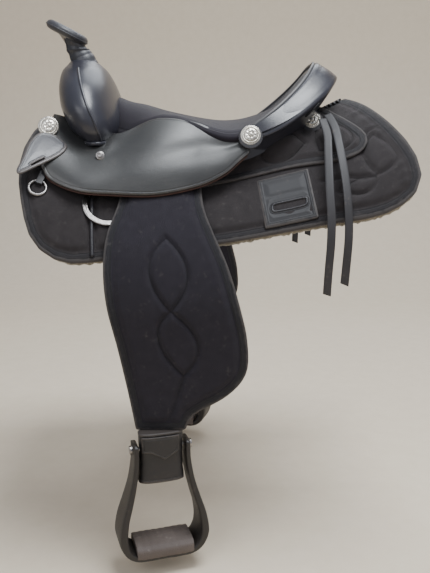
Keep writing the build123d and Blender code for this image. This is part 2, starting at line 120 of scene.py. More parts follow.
def side_unroll(points, off=0.0):
    """Side-view points (x, z) on the skirt, or off from it, as (x, distance down the side)."""
    p = np.array(points, float)
    level = AXIS_Z - np.hypot(AXIS_Z - p[:, 1], p[:, 0] - MID_X)
    top = math.asin(-ACROSS_U / (SIDE_RADIUS + off)) + 0.002
    turn = np.arccos(np.clip((level - ACROSS_Z) / (SIDE_RADIUS + off), -1, 1))
    turn = np.maximum(turn, top)
    return np.stack([p[:, 0], (turn - RIDGE_TURN) * SIDE_RADIUS], -1)


FIRST_ARC = SIDE_RADIUS + LEG_OFF
LEAVE_U = ACROSS_U + FIRST_ARC * math.sin(LEAVE_TURN)
LEAVE_Z = ACROSS_Z + FIRST_ARC * math.cos(LEAVE_TURN)
DROP_RADIUS = (LEG_DROP + 2.2 - LEAVE_U) / (1 - math.sin(LEAVE_TURN))
DROP_Y, DROP_Z = -(LEG_DROP + 2.2) + DROP_RADIUS, LEAVE_Z - DROP_RADIUS * math.cos(LEAVE_TURN)
NECK_Y = -(LEG_DROP + 2.2)


def leg_place(x, s, h):
    """A point of the leg: x, s down its line from where the line leaves the side, h outward.
    Above nought the line is the side's circle, then a second circle turns it straight down."""
    first = LEAVE_TURN + s / FIRST_ARC
    second = LEAVE_TURN + s / DROP_RADIUS
    r1, r2 = FIRST_ARC + h, DROP_RADIUS + h
    y1, z1 = -(ACROSS_U + r1 * np.sin(first)), ACROSS_Z + r1 * np.cos(first)
    y2, z2 = DROP_Y - r2 * np.sin(second), DROP_Z + r2 * np.cos(second)
    straight = DROP_RADIUS * (math.pi / 2 - LEAVE_TURN)
    y3, z3 = DROP_Y - r2, DROP_Z - (s - straight)
    y = np.where(s < 0, y1, np.where(s < straight, y2, y3))
    z = np.where(s < 0, z1, np.where(s < straight, z2, z3))
    return np.stack([x + 0 * y, y, z], -1)


def leg_unroll(points):
    """Side-view points (x, z) of the leg as (x, distance down its line)."""
    p = np.array(points, float)
    z = p[:, 1]
    first = (np.arccos(np.clip((z - ACROSS_Z) / FIRST_ARC, -1, 1)) - LEAVE_TURN) * FIRST_ARC
    second = (np.arccos(np.clip((z - DROP_Z) / DROP_RADIUS, -1, 1)) - LEAVE_TURN) * DROP_RADIUS
    third = DROP_RADIUS * (math.pi / 2 - LEAVE_TURN) + DROP_Z - z
    s = np.where(z > LEAVE_Z, first, np.where(z > DROP_Z, second, third))
    return np.stack([p[:, 0], s], -1)


def nearest(points, line):
    """The distance from each point to a polyline, and how far along the line that is."""
    a, b = line[:-1], line[1:]
    reach = along(line)
    gap = b - a
    size = np.maximum((gap**2).sum(-1), 1e-9)
    flat = points.reshape(-1, points.shape[-1])
    best, where = np.full(len(flat), 1e9), np.zeros(len(flat))
    for chunk in range(0, len(flat), 4000):
        q = flat[chunk : chunk + 4000, None]
        t = np.clip(((q - a) * gap).sum(-1) / size, 0, 1)
        d = np.linalg.norm(q - (a + gap * t[..., None]), axis=-1)
        k = d.argmin(1)
        rows = np.arange(len(k))
        best[chunk : chunk + 4000] = d[rows, k]
        where[chunk : chunk + 4000] = reach[k] + t[rows, k] * np.sqrt(size[k])
    return best.reshape(points.shape[:-1]), where.reshape(points.shape[:-1])


# ---------------------------------------------------------------- meshes


def ring_faces(rings, around, poles=(True, True)):
    """Faces of a grid of closed rings, with a fan to a point at either end."""
    i = np.arange(rings - 1)[:, None] * around
    j = np.arange(around)[None]
    k = (j + 1) % around
    quads = np.stack([i + j, i + k, i + around + k, i + around + j], -1).reshape(-1, 4).tolist()
    total = rings * around
    if poles[0]:
        quads += [[total, int(b), int(a)] for a, b in zip(j[0], k[0])]
    if poles[1]:
        last = (rings - 1) * around
        quads += [[total + int(poles[0]), last + int(a), last + int(b)] for a, b in zip(j[0], k[0])]
    return quads


def closed_rings(points):
    """Vertices and faces of rings (rings, around, 3) closed by a point at each end."""
    ends = [points[0].mean(0), points[-1].mean(0)]
    return np.vstack([points.reshape(-1, 3), ends]), ring_faces(*points.shape[:2])


def cyclic_rings(points):
    """Vertices and faces of rings (rings, around, 3), the last of which joins the first."""
    n, m = points.shape[:2]
    i, j = np.arange(n)[:, None], np.arange(m)[None]
    i2, j2 = (i + 1) % n, (j + 1) % m
    faces = np.stack([i * m + j, i2 * m + j, i2 * m + j2, i * m + j2], -1)
    return points.reshape(-1, 3), faces.reshape(-1, 4).tolist()


def join(*shapes):
    """Several shapes as one."""
    points, faces, start = [], [], 0
    for shape in shapes:
        points.append(shape[0])
        faces += [[v + start for v in face] for face in shape[1]]
        start += len(shape[0])
    return np.vstack(points), faces


def piece(name, points, faces, body, material, stands_for=(), marks=None, cloth=None, sign=1):
    """One mesh piece, given in millimetres, riding on a body if one is named. marks are values at
    its vertices, and cloth its flat coordinates in metres."""
    mesh = bpy.data.meshes.new(name)
    mesh.from_pydata((points * MM * (1, sign, 1)).tolist(), [], faces)
    for key, values in (marks or {}).items():
        layer = mesh.attributes.new(key, "FLOAT", "POINT")
        layer.data.foreach_set("value", np.asarray(values, np.float32))
    if cloth is not None:
        corner = np.zeros(len(mesh.loops), np.int32)
        mesh.loops.foreach_get("vertex_index", corner)
        mesh.uv_layers.new(name="cloth").data.foreach_set("uv", cloth[corner].astype(np.float32).ravel())
    b = bmesh.new()
    b.from_mesh(mesh)
    bmesh.ops.recalc_face_normals(b, faces=b.faces)
    b.to_mesh(mesh)
    b.free()
    mesh.polygons.foreach_set("use_smooth", np.ones(len(mesh.polygons), bool))
    o = bpy.data.objects.new(name, mesh)
    bpy.context.collection.objects.link(o)
    mesh.materials.append(material)
    if body:
        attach(o, body)
    if stands_for:
        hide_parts(*stands_for)
    return o


def pair(name, shape, body, material, stands_for=(), **extra):
    """A piece on each side. A star in a body's or node's name stands for the side."""
    made = []
    for side, sign in SIDES:
        nodes = [n.replace("*", side) for n in stands_for]
        points, faces = shape[:2]
        marks = shape[2] if len(shape) > 2 else None
        cloth = shape[3] if len(shape) > 3 else None
        made.append(
            piece(f"{name}_{side}", points, faces, body.replace("*", side), material, nodes, marks, cloth,
                  sign)
        )
    return made


def tufts(x, s):
    """Curled lumps over a flat pattern: one wave through another, each bent by a third."""
    return np.sin(0.9 * x + 2 * np.sin(0.37 * s)) * np.sin(0.8 * s + 2 * np.sin(0.29 * x))


def slot_loop(around_points, middle, hole):
    """A rounded slot: for each outline point, the slot's edge in the same direction from the middle.
    hole is its half length, half height and turn in degrees."""
    turn = math.radians(hole[2])
    gap = around_points - middle
    ahead = gap[:, 0] * math.cos(turn) - gap[:, 1] * math.sin(turn)
    down = gap[:, 0] * math.sin(turn) + gap[:, 1] * math.cos(turn)
    size = (np.abs(ahead / hole[0]) ** 6 + np.abs(down / hole[1]) ** 6) ** (1 / 6)
    return middle + gap / size[:, None]


def panel(outline, centre, place, thick, lift=0.0, quilt=(), puff=0.0, band=12.0, hole=None, shag=0.0,
          gather=0.0, rings=100, around=480):
    """A sheet of leather or padded cloth. Rings shrink from its outline to its centre, or to a
    slot, on the flat pattern. The top puffs up between the quilting lines and inside the bound
    edge, the rim is half a circle, and place wraps the pattern round the horse or down the leg."""
    edge = even(np.vstack([outline, outline[:1]]), around + 1)
    loop = edge[:-1]
    middle = np.array(centre, float)
    start = np.broadcast_to(middle, loop.shape) if hole is None else slot_loop(loop, middle, hole)
    share = np.linspace(0 if hole else 1 / rings, 1, rings)[:, None, None]
    flat = start + share * (loop - start)
    depth, reach = nearest(flat, edge)
    if hole:
        depth = np.minimum(depth, nearest(flat, np.vstack([start, start[:1]]))[0])
    seam, run = np.full(depth.shape, 99.0), np.zeros(depth.shape)
    for line in quilt:
        gap, far = nearest(flat, line)
        run, seam = np.where(gap < seam, far, run), np.minimum(gap, seam)
    inside = step(band - 2, band + 12, depth) * (1 - bump(seam, 5.0))
    rise = 0.9 * step(0, 2, depth) * (1 - step(band - 1.5, band + 0.5, depth))
    folds = gather * np.sin(reach / 4.5 + 1.5 * np.sin(reach / 17)) * bump(depth - band - 9, 12)
    folds *= 0.5 + 0.5 * np.sin(reach / 31)
    height = thick / 2 + puff * inside + rise + folds + shag * tufts(*np.moveaxis(flat, -1, 0))
    tangent = np.roll(loop, -1, 0) - np.roll(loop, 1, 0)
    out = np.stack([tangent[:, 1], -tangent[:, 0]], -1)
    out /= np.linalg.norm(out, axis=1, keepdims=True)
    out *= np.sign(((loop - middle) * out).sum(1).mean())
    round_turn = np.linspace(0.25, math.pi, 5)[:, None]
    curl = 1 + shag * 0.3 * tufts(loop[:, 0] * 1.3, loop[:, 1] * 1.3)
    rim = loop + out * (np.sin(round_turn) * thick / 2 * curl)[..., None]
    rim_height = np.broadcast_to(np.cos(round_turn) * thick / 2, rim.shape[:2])
    under_share = np.linspace(0.98, 0.0 if hole else 0.03, 40 if shag else 12)[:, None, None]
    under = start + under_share * (loop - start)
    under_height = -thick / 2 - shag * tufts(*np.moveaxis(under, -1, 0))
    all_flat = np.concatenate([flat, rim, under])
    all_height = np.concatenate([height, rim_height, under_height])
    points = place(all_flat[..., 0], all_flat[..., 1], all_height + lift)
    rows = len(rim) + len(under)
    marks = {
        "edge": np.concatenate([depth, np.zeros(rim.shape[:2]), nearest(under, edge)[0]]),
        "reach": np.concatenate([reach, np.repeat(reach[-1:], rows, 0)]),
        "quilt": np.concatenate([seam, np.full((rows, around), 99.0)]),
        "quilt_reach": np.concatenate([run, np.zeros((rows, around))]),
    }
    if hole:
        marks = {key: value.ravel() for key, value in marks.items()}
        return (*cyclic_rings(points), marks, all_flat.reshape(-1, 2) * MM)
    marks = {key: np.append(value.ravel(), [value[0].mean(), value[-1].mean()])
             for key, value in marks.items()}
    cloth = np.vstack([all_flat.reshape(-1, 2), middle, middle]) * MM
    return (*closed_rings(points), marks, cloth)


def lens(grid, thick, round_off=None):
    """A sheet over an open grid: its two faces stand half the thickness off along the normal and
    meet in a rounded border."""
    du, dv = np.gradient(grid, axis=0), np.gradient(grid, axis=1)
    normal = np.cross(du, dv)
    normal /= np.maximum(np.linalg.norm(normal, axis=-1, keepdims=True), 1e-9)
    border = np.vstack([grid[:-1, 0], grid[-1, :-1], grid[:0:-1, -1], grid[0, ::-1]])
    depth, reach = nearest(grid, border)
    half = round_off or thick / 2
    swell = np.sqrt(np.clip(1 - (1 - np.minimum(depth / half, 1)) ** 2, 0, 1))[..., None] * thick / 2
    n, m = grid.shape[:2]
    top, low = grid + normal * swell, grid - normal * swell
    index = np.arange(n * m).reshape(n, m)
    under = index.copy()
    under[1:-1, 1:-1] = n * m + np.arange((n - 2) * (m - 2)).reshape(n - 2, m - 2)

    def quads(k):
        return np.stack([k[:-1, :-1], k[1:, :-1], k[1:, 1:], k[:-1, 1:]], -1).reshape(-1, 4)

    faces = quads(index).tolist() + quads(under)[:, ::-1].tolist()
    points = np.vstack([top.reshape(-1, 3), low[1:-1, 1:-1].reshape(-1, 3)])
    marks = {
        "edge": np.append(depth.ravel(), depth[1:-1, 1:-1].ravel()),
        "reach": np.append(reach.ravel(), reach[1:-1, 1:-1].ravel()),
    }
    along_u = np.cumsum(np.linalg.norm(du, axis=-1), axis=0)
    along_v = np.cumsum(np.linalg.norm(dv, axis=-1), axis=1)
    cloth = np.stack([along_u, along_v], -1) * MM
    cloth = np.vstack([cloth.reshape(-1, 2), cloth[1:-1, 1:-1].reshape(-1, 2)])
    return points, faces, marks, cloth


def tube(path, radius, around=12, closed=False):
    """A round cord or welt carried along a path, its frame turned least from point to point.
    Its open ends are rounded off over one radius."""
    path = np.array(path, float)
    if closed:
        ahead = np.roll(path, -1, 0) - np.roll(path, 1, 0)
    else:
        ahead = np.gradient(path, axis=0)
    ahead /= np.linalg.norm(ahead, axis=1, keepdims=True)
    up = np.cross(ahead, (0.3, 0.9, 0.28))
    up /= np.linalg.norm(up, axis=1, keepdims=True)
    side = np.cross(ahead, up)
    size = np.full(len(path), float(radius))
    if not closed:
        reach = along(path)
        inward = np.minimum(reach, reach[-1] - reach)
        size *= np.sqrt(np.clip(1 - (1 - np.minimum(inward / radius, 1)) ** 2, 0.04, 1))
    turn = np.linspace(0, 2 * math.pi, around, endpoint=False)
    rings = path[:, None] + size[:, None, None] * (
        np.cos(turn)[None, :, None] * up[:, None] + np.sin(turn)[None, :, None] * side[:, None]
    )
    return cyclic_rings(rings) if closed else closed_rings(rings)


# ---------------------------------------------------------------- materials


def new_group(name, inputs, outputs):
    """An empty shader group with named sockets, and its nodes for input and output."""
    tree = bpy.data.node_groups.new(name, "ShaderNodeTree")
    kinds = {"f": "NodeSocketFloat", "v": "NodeSocketVector", "c": "NodeSocketColor"}
    for key, kind, value in inputs:
        socket = tree.interface.new_socket(name=key, in_out="INPUT", socket_type=kinds[kind])
        if value is not None:
            socket.default_value = value
    for key, kind in outputs:
        tree.interface.new_socket(name=key, in_out="OUTPUT", socket_type=kinds[kind])
    return tree, tree.nodes.new("NodeGroupInput"), tree.nodes.new("NodeGroupOutput")


def node(tree, kind, values=None, links=None, **settings):
    """A node with its settings, socket values and incoming links."""
    made = tree.nodes.new(kind)
    for key, value in settings.items():
        setattr(made, key, value)
    for key, value in (values or {}).items():
        made.inputs[key].default_value = value
    for key, source in (links or {}).items():
        tree.links.new(source, made.inputs[key])
    return made


def maths(tree, kind, a, b=None, c=None):
    """A Math node, each of whose inputs is a number or a socket."""
    made = tree.nodes.new("ShaderNodeMath")
    made.operation = kind
    for i, value in enumerate((a, b, c)):
        if isinstance(value, (int, float)):
            made.inputs[i].default_value = value
        elif value is not None:
            tree.links.new(value, made.inputs[i])
    return made.outputs[0]


def ramp(tree, value, low, high):
    """How far a value is from low to high, kept between nought and one."""
    made = node(tree, "ShaderNodeMapRange", {"From Min": low, "From Max": high}, {"Value": value})
    return made.outputs[0]


def make_grain():
    """Leather grain: small cells with creases between them, over slow blotches."""
    tree, given, out = new_group(
        "leather grain", [("Vector", "v", None), ("Cells", "f", 900.0)], [("Height", "f"), ("Blotch", "f")]
    )
    cells = node(tree, "ShaderNodeTexVoronoi", None, {"Vector": given.outputs[0], "Scale": given.outputs[1]})
    warp = node(tree, "ShaderNodeTexNoise", {"Scale": 260.0, "Detail": 4.0}, {"Vector": given.outputs[0]})
    blotch = node(tree, "ShaderNodeTexNoise", {"Scale": 14.0, "Detail": 5.0}, {"Vector": given.outputs[0]})
    height = maths(tree, "ADD", cells.outputs["Distance"], maths(tree, "MULTIPLY", warp.outputs[0], 0.8))
    tree.links.new(height, out.inputs["Height"])
    tree.links.new(blotch.outputs[0], out.inputs["Blotch"])
    return tree


def make_creases():
    """Faint long creases in leather: a stretched noise cut to thin lines, with broad dents."""
    tree, given, out = new_group(
        "creases", [("Vector", "v", None), ("Scale", "f", 9.0)], [("Height", "f"), ("Line", "f")]
    )
    long = node(tree, "ShaderNodeMapping", {"Scale": (1.0, 2.6, 2.6)}, {"Vector": given.outputs[0]})
    wave = node(tree, "ShaderNodeTexNoise", {"Detail": 3.0, "Distortion": 1.2},
                {"Vector": long.outputs[0], "Scale": given.outputs[1]})
    ridge = maths(tree, "ABSOLUTE", maths(tree, "SUBTRACT", wave.outputs[0], 0.5))
    line = maths(tree, "SUBTRACT", 1.0, ramp(tree, ridge, 0.0, 0.035))
    broad = node(tree, "ShaderNodeTexNoise", {"Scale": 5.0, "Detail": 1.0}, {"Vector": given.outputs[0]})
    height = maths(tree, "SUBTRACT", broad.outputs[0], maths(tree, "MULTIPLY", line, 0.012))
    tree.links.new(height, out.inputs["Height"])
    tree.links.new(line, out.inputs["Line"])
    return tree


def make_weave():
    """Coarse woven cloth: threads across and along, each over and under the other in turn."""
    tree, given, out = new_group(
        "weave", [("Vector", "v", None), ("Threads", "f", 1000.0)], [("Height", "f"), ("Tone", "f")]
    )
    axes = node(tree, "ShaderNodeSeparateXYZ", None, {"Vector": given.outputs[0]})
    across = maths(tree, "MULTIPLY", axes.outputs[0], given.outputs[1])
    down = maths(tree, "MULTIPLY", axes.outputs[1], given.outputs[1])
    warp = maths(tree, "ABSOLUTE", maths(tree, "SINE", maths(tree, "MULTIPLY", across, math.pi)))
    weft = maths(tree, "ABSOLUTE", maths(tree, "SINE", maths(tree, "MULTIPLY", down, math.pi)))
    turn = maths(tree, "ADD", maths(tree, "FLOOR", across), maths(tree, "FLOOR", down))
    over = maths(tree, "GREATER_THAN", maths(tree, "FRACT", maths(tree, "MULTIPLY", turn, 0.5)), 0.25)
    first = maths(tree, "MULTIPLY", warp, maths(tree, "SUBTRACT", 1.0, over))
    height = maths(tree, "ADD", first, maths(tree, "MULTIPLY", weft, over))
    slub = node(tree, "ShaderNodeTexNoise", {"Scale": 60.0, "Detail": 4.0}, {"Vector": given.outputs[0]})
    tone = maths(tree, "MULTIPLY", maths(tree, "ADD", height, 0.4), slub.outputs[0])
    tree.links.new(height, out.inputs["Height"])
    tree.links.new(tone, out.inputs["Tone"])
    return tree


def make_binding():
    """A ribbon folded over an edge: a mask inside its width and a rounded height, in millimetres."""
    tree, given, out = new_group(
        "binding", [("Edge", "f", 99.0), ("Width", "f", 12.0)], [("Mask", "f"), ("Height", "f")]
    )
    share = maths(tree, "DIVIDE", given.outputs[0], given.outputs[1])
    mask = maths(tree, "LESS_THAN", share, 1.0)
    rise = maths(tree, "SUBTRACT", 1.0, ramp(tree, share, 0.86, 1.0))
    tree.links.new(mask, out.inputs["Mask"])
    tree.links.new(rise, out.inputs["Height"])
    return tree


def make_stitches():
    """A row of stitches at a distance in from the edge: dashes, each in a small dent."""
    tree, given, out = new_group(
        "stitches",
        [("Edge", "f", 99.0), ("Reach", "f", 0.0), ("Inset", "f", 3.0), ("Length", "f", 3.2)],
        [("Mask", "f"), ("Height", "f")],
    )
    off = maths(tree, "ABSOLUTE", maths(tree, "SUBTRACT", given.outputs[0], given.outputs[2]))
    thin = maths(tree, "SUBTRACT", 1.0, ramp(tree, off, 0.35, 0.6))
    part = maths(tree, "FRACT", maths(tree, "DIVIDE", given.outputs[1], given.outputs[3]))
    dash = maths(tree, "LESS_THAN", part, 0.72)
    mask = maths(tree, "MULTIPLY", thin, dash)
    dent = maths(tree, "SUBTRACT", 1.0, ramp(tree, off, 0.5, 1.4))
    height = maths(tree, "SUBTRACT", mask, dent)
    tree.links.new(mask, out.inputs["Mask"])
    tree.links.new(height, out.inputs["Height"])
    return tree


def make_wear():
    """Rubbed and dusty places: broken noise, more of it near an edge."""
    tree, given, out = new_group(
        "wear", [("Vector", "v", None), ("Edge", "f", 99.0), ("Amount", "f", 0.5)],
        [("Mask", "f"), ("Dust", "f")]
    )
    broken = node(tree, "ShaderNodeTexNoise", {"Scale": 75.0, "Detail": 8.0, "Roughness": 0.7},
                  {"Vector": given.outputs[0]})
    near = maths(tree, "SUBTRACT", 1.0, ramp(tree, given.outputs[1], 0.0, 5.0))
    raised = maths(tree, "ADD", broken.outputs[0], maths(tree, "MULTIPLY", near, 0.35))
    mask = maths(tree, "MULTIPLY", ramp(tree, raised, 0.58, 0.8), given.outputs[2])
    dust = node(tree, "ShaderNodeTexNoise", {"Scale": 22.0, "Detail": 6.0}, {"Vector": given.outputs[0]})
    tree.links.new(mask, out.inputs["Mask"])
    tree.links.new(ramp(tree, dust.outputs[0], 0.4, 0.8), out.inputs["Dust"])
    return tree


GRAIN, CREASES, WEAVE = make_grain(), make_creases(), make_weave()
BINDING, STITCHES, WEAR = make_binding(), make_stitches(), make_wear()


class Finish:
    """A material being built: its tree, its shader, and the sources that its groups read."""

    def __init__(self, name, roughness=0.5, **shader):
        self.material = bpy.data.materials.new(name)
        self.material.use_nodes = True
        self.tree = self.material.node_tree
        self.shader = self.tree.nodes["Principled BSDF"]
        self.shader.inputs["Roughness"].default_value = roughness
        for key, value in shader.items():
            self.shader.inputs[key.replace("_", " ")].default_value = value
        self.place = node(self.tree, "ShaderNodeTexCoord").outputs["Object"]
        self.cloth = node(self.tree, "ShaderNodeUVMap", uv_map="cloth").outputs[0]
        self.last_normal = None

    def mark(self, name):
        """A value that the mesh carries at its vertices."""
        return node(self.tree, "ShaderNodeAttribute", attribute_name=name).outputs["Fac"]

    def group(self, tree, links=None, **values):
        made = node(self.tree, "ShaderNodeGroup", None, None, node_tree=tree)
        for key, value in values.items():
            made.inputs[key].default_value = value
        for key, source in (links or {}).items():
            self.tree.links.new(source, made.inputs[key])
        return made.outputs

    def mix(self, share, a, b):
        """Colour a where share is nought and b where it is one."""
        made = node(self.tree, "ShaderNodeMix", data_type="RGBA")
        for index, value in ((0, share), (6, a), (7, b)):
            if isinstance(value, tuple):
                made.inputs[index].default_value = (*value, 1)
            elif isinstance(value, (int, float)):
                made.inputs[index].default_value = value
            else:
                self.tree.links.new(value, made.inputs[index])
        return made.outputs[2]

    def blend(self, share, a, b):
        """Number a where share is nought and b where it is one."""
        made = node(self.tree, "ShaderNodeMapRange", {"To Min": a, "To Max": b}, {"Value": share})
        return made.outputs[0]

    def colour(self, source):
        self.tree.links.new(source, self.shader.inputs["Base Color"])

    def rough(self, source):
        self.tree.links.new(source, self.shader.inputs["Roughness"])

    def relief(self, height, distance, strength=1.0):
        """Adds a bump of a depth in metres over the ones before it."""
        made = node(self.tree, "ShaderNodeBump", {"Strength": strength, "Distance": distance},
                    {"Height": height})
        if self.last_normal is not None:
            self.tree.links.new(self.last_normal, made.inputs["Normal"])
        self.last_normal = made.outputs[0]
        self.tree.links.new(self.last_normal, self.shader.inputs["Normal"])


def leather(name, dark, light, roughness, coat=0.0, cells=900.0, depth=0.00025, crease=0.0, stitch=None,
            worn=0.25, worn_colour=(0.16, 0.13, 0.11), sheen=0.0, raw=None, marked=True):
    """Leather: grain and creases in relief, blotched colour, rubbed places, and stitches near the
    edge where a piece has them. A piece without marks at its vertices is worn all over."""
    f = Finish(name, roughness, Coat_Weight=coat, Coat_Roughness=0.25, Sheen_Weight=sheen,
               Specular_IOR_Level=0.5)
    grain = f.group(GRAIN, {"Vector": f.place}, Cells=cells)
    edge = f.mark("edge") if marked else None
    wear = f.group(WEAR, {"Vector": f.place, "Edge": edge} if marked else {"Vector": f.place}, Amount=worn)
    colour = f.mix(grain["Blotch"], dark, light)
    colour = f.mix(wear["Mask"], colour, worn_colour)
    f.rough(f.blend(grain["Blotch"], roughness - 0.07, roughness + 0.1))
    if crease:
        fold = f.group(CREASES, {"Vector": f.place}, Scale=11.0)
        f.relief(fold["Height"], crease)
    f.relief(grain["Height"], depth, 0.6)
    if raw:
        rim = maths(f.tree, "SUBTRACT", 1.0, ramp(f.tree, edge, 0.15, 0.9))
        colour = f.mix(rim, colour, raw)
    if stitch:
        row = f.group(STITCHES, {"Edge": edge, "Reach": f.mark("reach")}, Inset=stitch[0], Length=3.4)
        colour = f.mix(row["Mask"], colour, stitch[1])
        f.relief(row["Height"], 0.0006)
    f.colour(colour)
    return f.material


def cloth(name, dark, light, ribbon, width=12.0, threads=1100.0, quilted=True):
    """Woven nylon with a ribbon bound over its edge, two rows of stitches and quilting lines."""
    f = Finish(name, 0.8, Sheen_Weight=0.06, Sheen_Roughness=0.5, Specular_IOR_Level=0.3)
    edge, reach = f.mark("edge"), f.mark("reach")
    weave = f.group(WEAVE, {"Vector": f.cloth}, Threads=threads)
    wear = f.group(WEAR, {"Vector": f.place, "Edge": edge}, Amount=0.35)
    band = f.group(BINDING, {"Edge": edge}, Width=width)
    fine = f.group(WEAVE, {"Vector": f.cloth}, Threads=2600.0)
    colour = f.mix(weave["Tone"], dark, light)
    colour = f.mix(wear["Dust"], colour, f.mix(0.35, dark, light))
    bound = f.mix(fine["Tone"], ribbon, tuple(c * 1.5 for c in ribbon))
    colour = f.mix(band["Mask"], colour, bound)
    colour = f.mix(wear["Mask"], colour, (0.16, 0.14, 0.13))
    f.relief(weave["Height"], 0.0005, 0.8)
    for inset in (width - 1.6, 2.6):
        row = f.group(STITCHES, {"Edge": edge, "Reach": reach}, Inset=inset, Length=3.0)
        colour = f.mix(row["Mask"], colour, tuple(c * 0.6 for c in ribbon))
        f.relief(row["Height"], 0.0006)
    if quilted:
        row = f.group(STITCHES, {"Edge": f.mark("quilt"), "Reach": f.mark("quilt_reach")}, Inset=0.0,
                      Length=3.4)
        colour = f.mix(row["Mask"], colour, tuple(c * 0.5 for c in ribbon))
        f.relief(row["Height"], 0.0008)
    f.colour(colour)
    f.rough(f.blend(band["Mask"], 0.78, 0.6))
    return f.material


def metal(name, colour, dark, roughness, scratches=0.0):
    """Cast or drawn metal, with tarnish in blotches and fine scratches."""
    f = Finish(name, roughness, Metallic=1.0)
    grain = f.group(GRAIN, {"Vector": f.place}, Cells=500.0)
    wear = f.group(WEAR, {"Vector": f.place}, Amount=0.8)
    f.colour(f.mix(wear["Dust"], colour, dark))
    f.rough(f.blend(grain["Blotch"], max(roughness - 0.08, 0.04), roughness + 0.14))
    if scratches:
        f.relief(grain["Height"], scratches)
    return f.material


def wool(name, dark, light):
    """Fleece: curled tufts in relief."""
    f = Finish(name, 0.95, Sheen_Weight=0.6, Specular_IOR_Level=0.1)
    tufts = node(f.tree, "ShaderNodeTexNoise", {"Scale": 170.0, "Detail": 8.0, "Distortion": 1.8},
                 {"Vector": f.place})
    f.colour(f.mix(tufts.outputs[0], dark, light))
    f.relief(tufts.outputs[0], 0.004)
    return f.material


def timber(name, dark, light):
    """Wood of the tree: rings drawn out along the horse."""
    f = Finish(name, 0.7)
    drawn = node(f.tree, "ShaderNodeMapping", {"Scale": (0.12, 1.0, 1.0)}, {"Vector": f.place})
    rings = node(f.tree, "ShaderNodeTexNoise", {"Scale": 90.0, "Detail": 6.0}, {"Vector": drawn.outputs[0]})
    f.colour(f.mix(rings.outputs[0], dark, light))
    f.relief(rings.outputs[0], 0.0005)
    return f.material


def suede(name, dark, light):
    """Soft seat leather: a fine nap brushed in soft patches, with a stitched edge."""
    f = Finish(name, 0.6, Sheen_Weight=0.12, Sheen_Roughness=0.5, Specular_IOR_Level=0.2)
    nap = node(f.tree, "ShaderNodeTexNoise", {"Scale": 1500.0, "Detail": 3.0}, {"Vector": f.place})
    patch = node(f.tree, "ShaderNodeTexNoise", {"Scale": 16.0, "Detail": 5.0}, {"Vector": f.place})
    fold = f.group(CREASES, {"Vector": f.place}, Scale=7.0)
    row = f.group(STITCHES, {"Edge": f.mark("edge"), "Reach": f.mark("reach")}, Inset=7.0, Length=3.4)
    colour = f.mix(patch.outputs[0], dark, light)
    colour = f.mix(row["Mask"], colour, (0.015, 0.013, 0.016))
    f.colour(colour)
    f.relief(fold["Height"], 0.004)
    f.relief(nap.outputs[0], 0.0004)
    f.relief(row["Height"], 0.0007)
    return f.material


BLACK = (0.012, 0.011, 0.014)
SWELL_LEATHER = leather(
    "swell leather", (0.018, 0.018, 0.025), (0.04, 0.04, 0.052), 0.3, coat=0.25, depth=0.00015, marked=False
)
HORN_LEATHER = leather("horn leather", (0.022, 0.022, 0.028), (0.06, 0.06, 0.068), 0.38, worn=0.5,
                       marked=False)
JOCKEY_LEATHER = leather(
    "jockey leather", (0.022, 0.022, 0.023), (0.05, 0.05, 0.048), 0.34, coat=0.5, crease=0.004,
    stitch=(6.0, (0.012, 0.01, 0.01)), depth=0.00016,
)
TAB_LEATHER = leather(
    "tab leather", (0.035, 0.035, 0.042), (0.09, 0.09, 0.1), 0.33, coat=0.3,
    stitch=(3.0, (0.03, 0.028, 0.03)), worn=0.4,
)
RAW_EDGE = leather("raw edge", (0.03, 0.011, 0.008), (0.065, 0.024, 0.016), 0.6, marked=False)
PIPING = leather("piping", (0.06, 0.06, 0.066), (0.13, 0.125, 0.12), 0.36, worn=0.7, marked=False)
# Painted shade: near-black leather that stands for the shadow inside the slit in the cantle's back.
SLIT_SHADE = leather("painted slit shade", (0.006, 0.006, 0.007), (0.012, 0.011, 0.012), 0.7, marked=False)
STRAP_LEATHER = leather("strap leather", BLACK, (0.035, 0.033, 0.038), 0.45, worn=0.4, marked=False)
PLAIN_LEATHER = leather("plain leather", BLACK, (0.03, 0.028, 0.032), 0.5, marked=False)
PLATE_LEATHER = leather(
    "plate leather", (0.008, 0.0076, 0.0096), (0.02, 0.019, 0.022), 0.6, stitch=(4.0, (0.05, 0.047, 0.047)),
    crease=0.002,
)
LACE_LEATHER = leather("lace leather", (0.014, 0.013, 0.015), (0.035, 0.0325, 0.035), 0.55, worn=0.5,
                       marked=False)
STIRRUP_LEATHER = leather("stirrup leather", (0.01, 0.0085, 0.008), (0.0275, 0.0225, 0.02), 0.45, worn=0.3,
                          marked=False)
SEAT_SUEDE = suede("seat suede", (0.007, 0.005, 0.009), (0.017, 0.013, 0.021))
FRONT_CLOTH = cloth("front cloth", (0.009, 0.007, 0.012), (0.024, 0.02, 0.03), (0.011, 0.01, 0.013))
REAR_CLOTH = cloth("rear cloth", (0.014, 0.011, 0.012), (0.04, 0.033, 0.034), (0.016, 0.014, 0.016))
WOOL = wool("wool", (0.11, 0.09, 0.065), (0.42, 0.37, 0.28))
TIMBER = timber("tree wood", (0.16, 0.09, 0.045), (0.42, 0.28, 0.16))
SILVER = metal("concho silver", (0.78, 0.74, 0.66), (0.3, 0.27, 0.23), 0.24, 0.0003)
STAINLESS = metal("stainless", (0.36, 0.34, 0.33), (0.16, 0.15, 0.14), 0.3, 0.0002)
TREAD_COVER = leather(
    "tread cover", (0.06, 0.045, 0.038), (0.2, 0.165, 0.15), 0.7, cells=420.0, depth=0.0009, worn=0.9,
    worn_colour=(0.3, 0.26, 0.24), marked=False,
)
WRAP_LEATHER = leather(
    "wrap leather", (0.009, 0.008, 0.009), (0.025, 0.022, 0.0225), 0.5, crease=0.004,
    stitch=(4.0, (0.04, 0.037, 0.037)), worn=0.25,
)


# ---------------------------------------------------------------- patterns


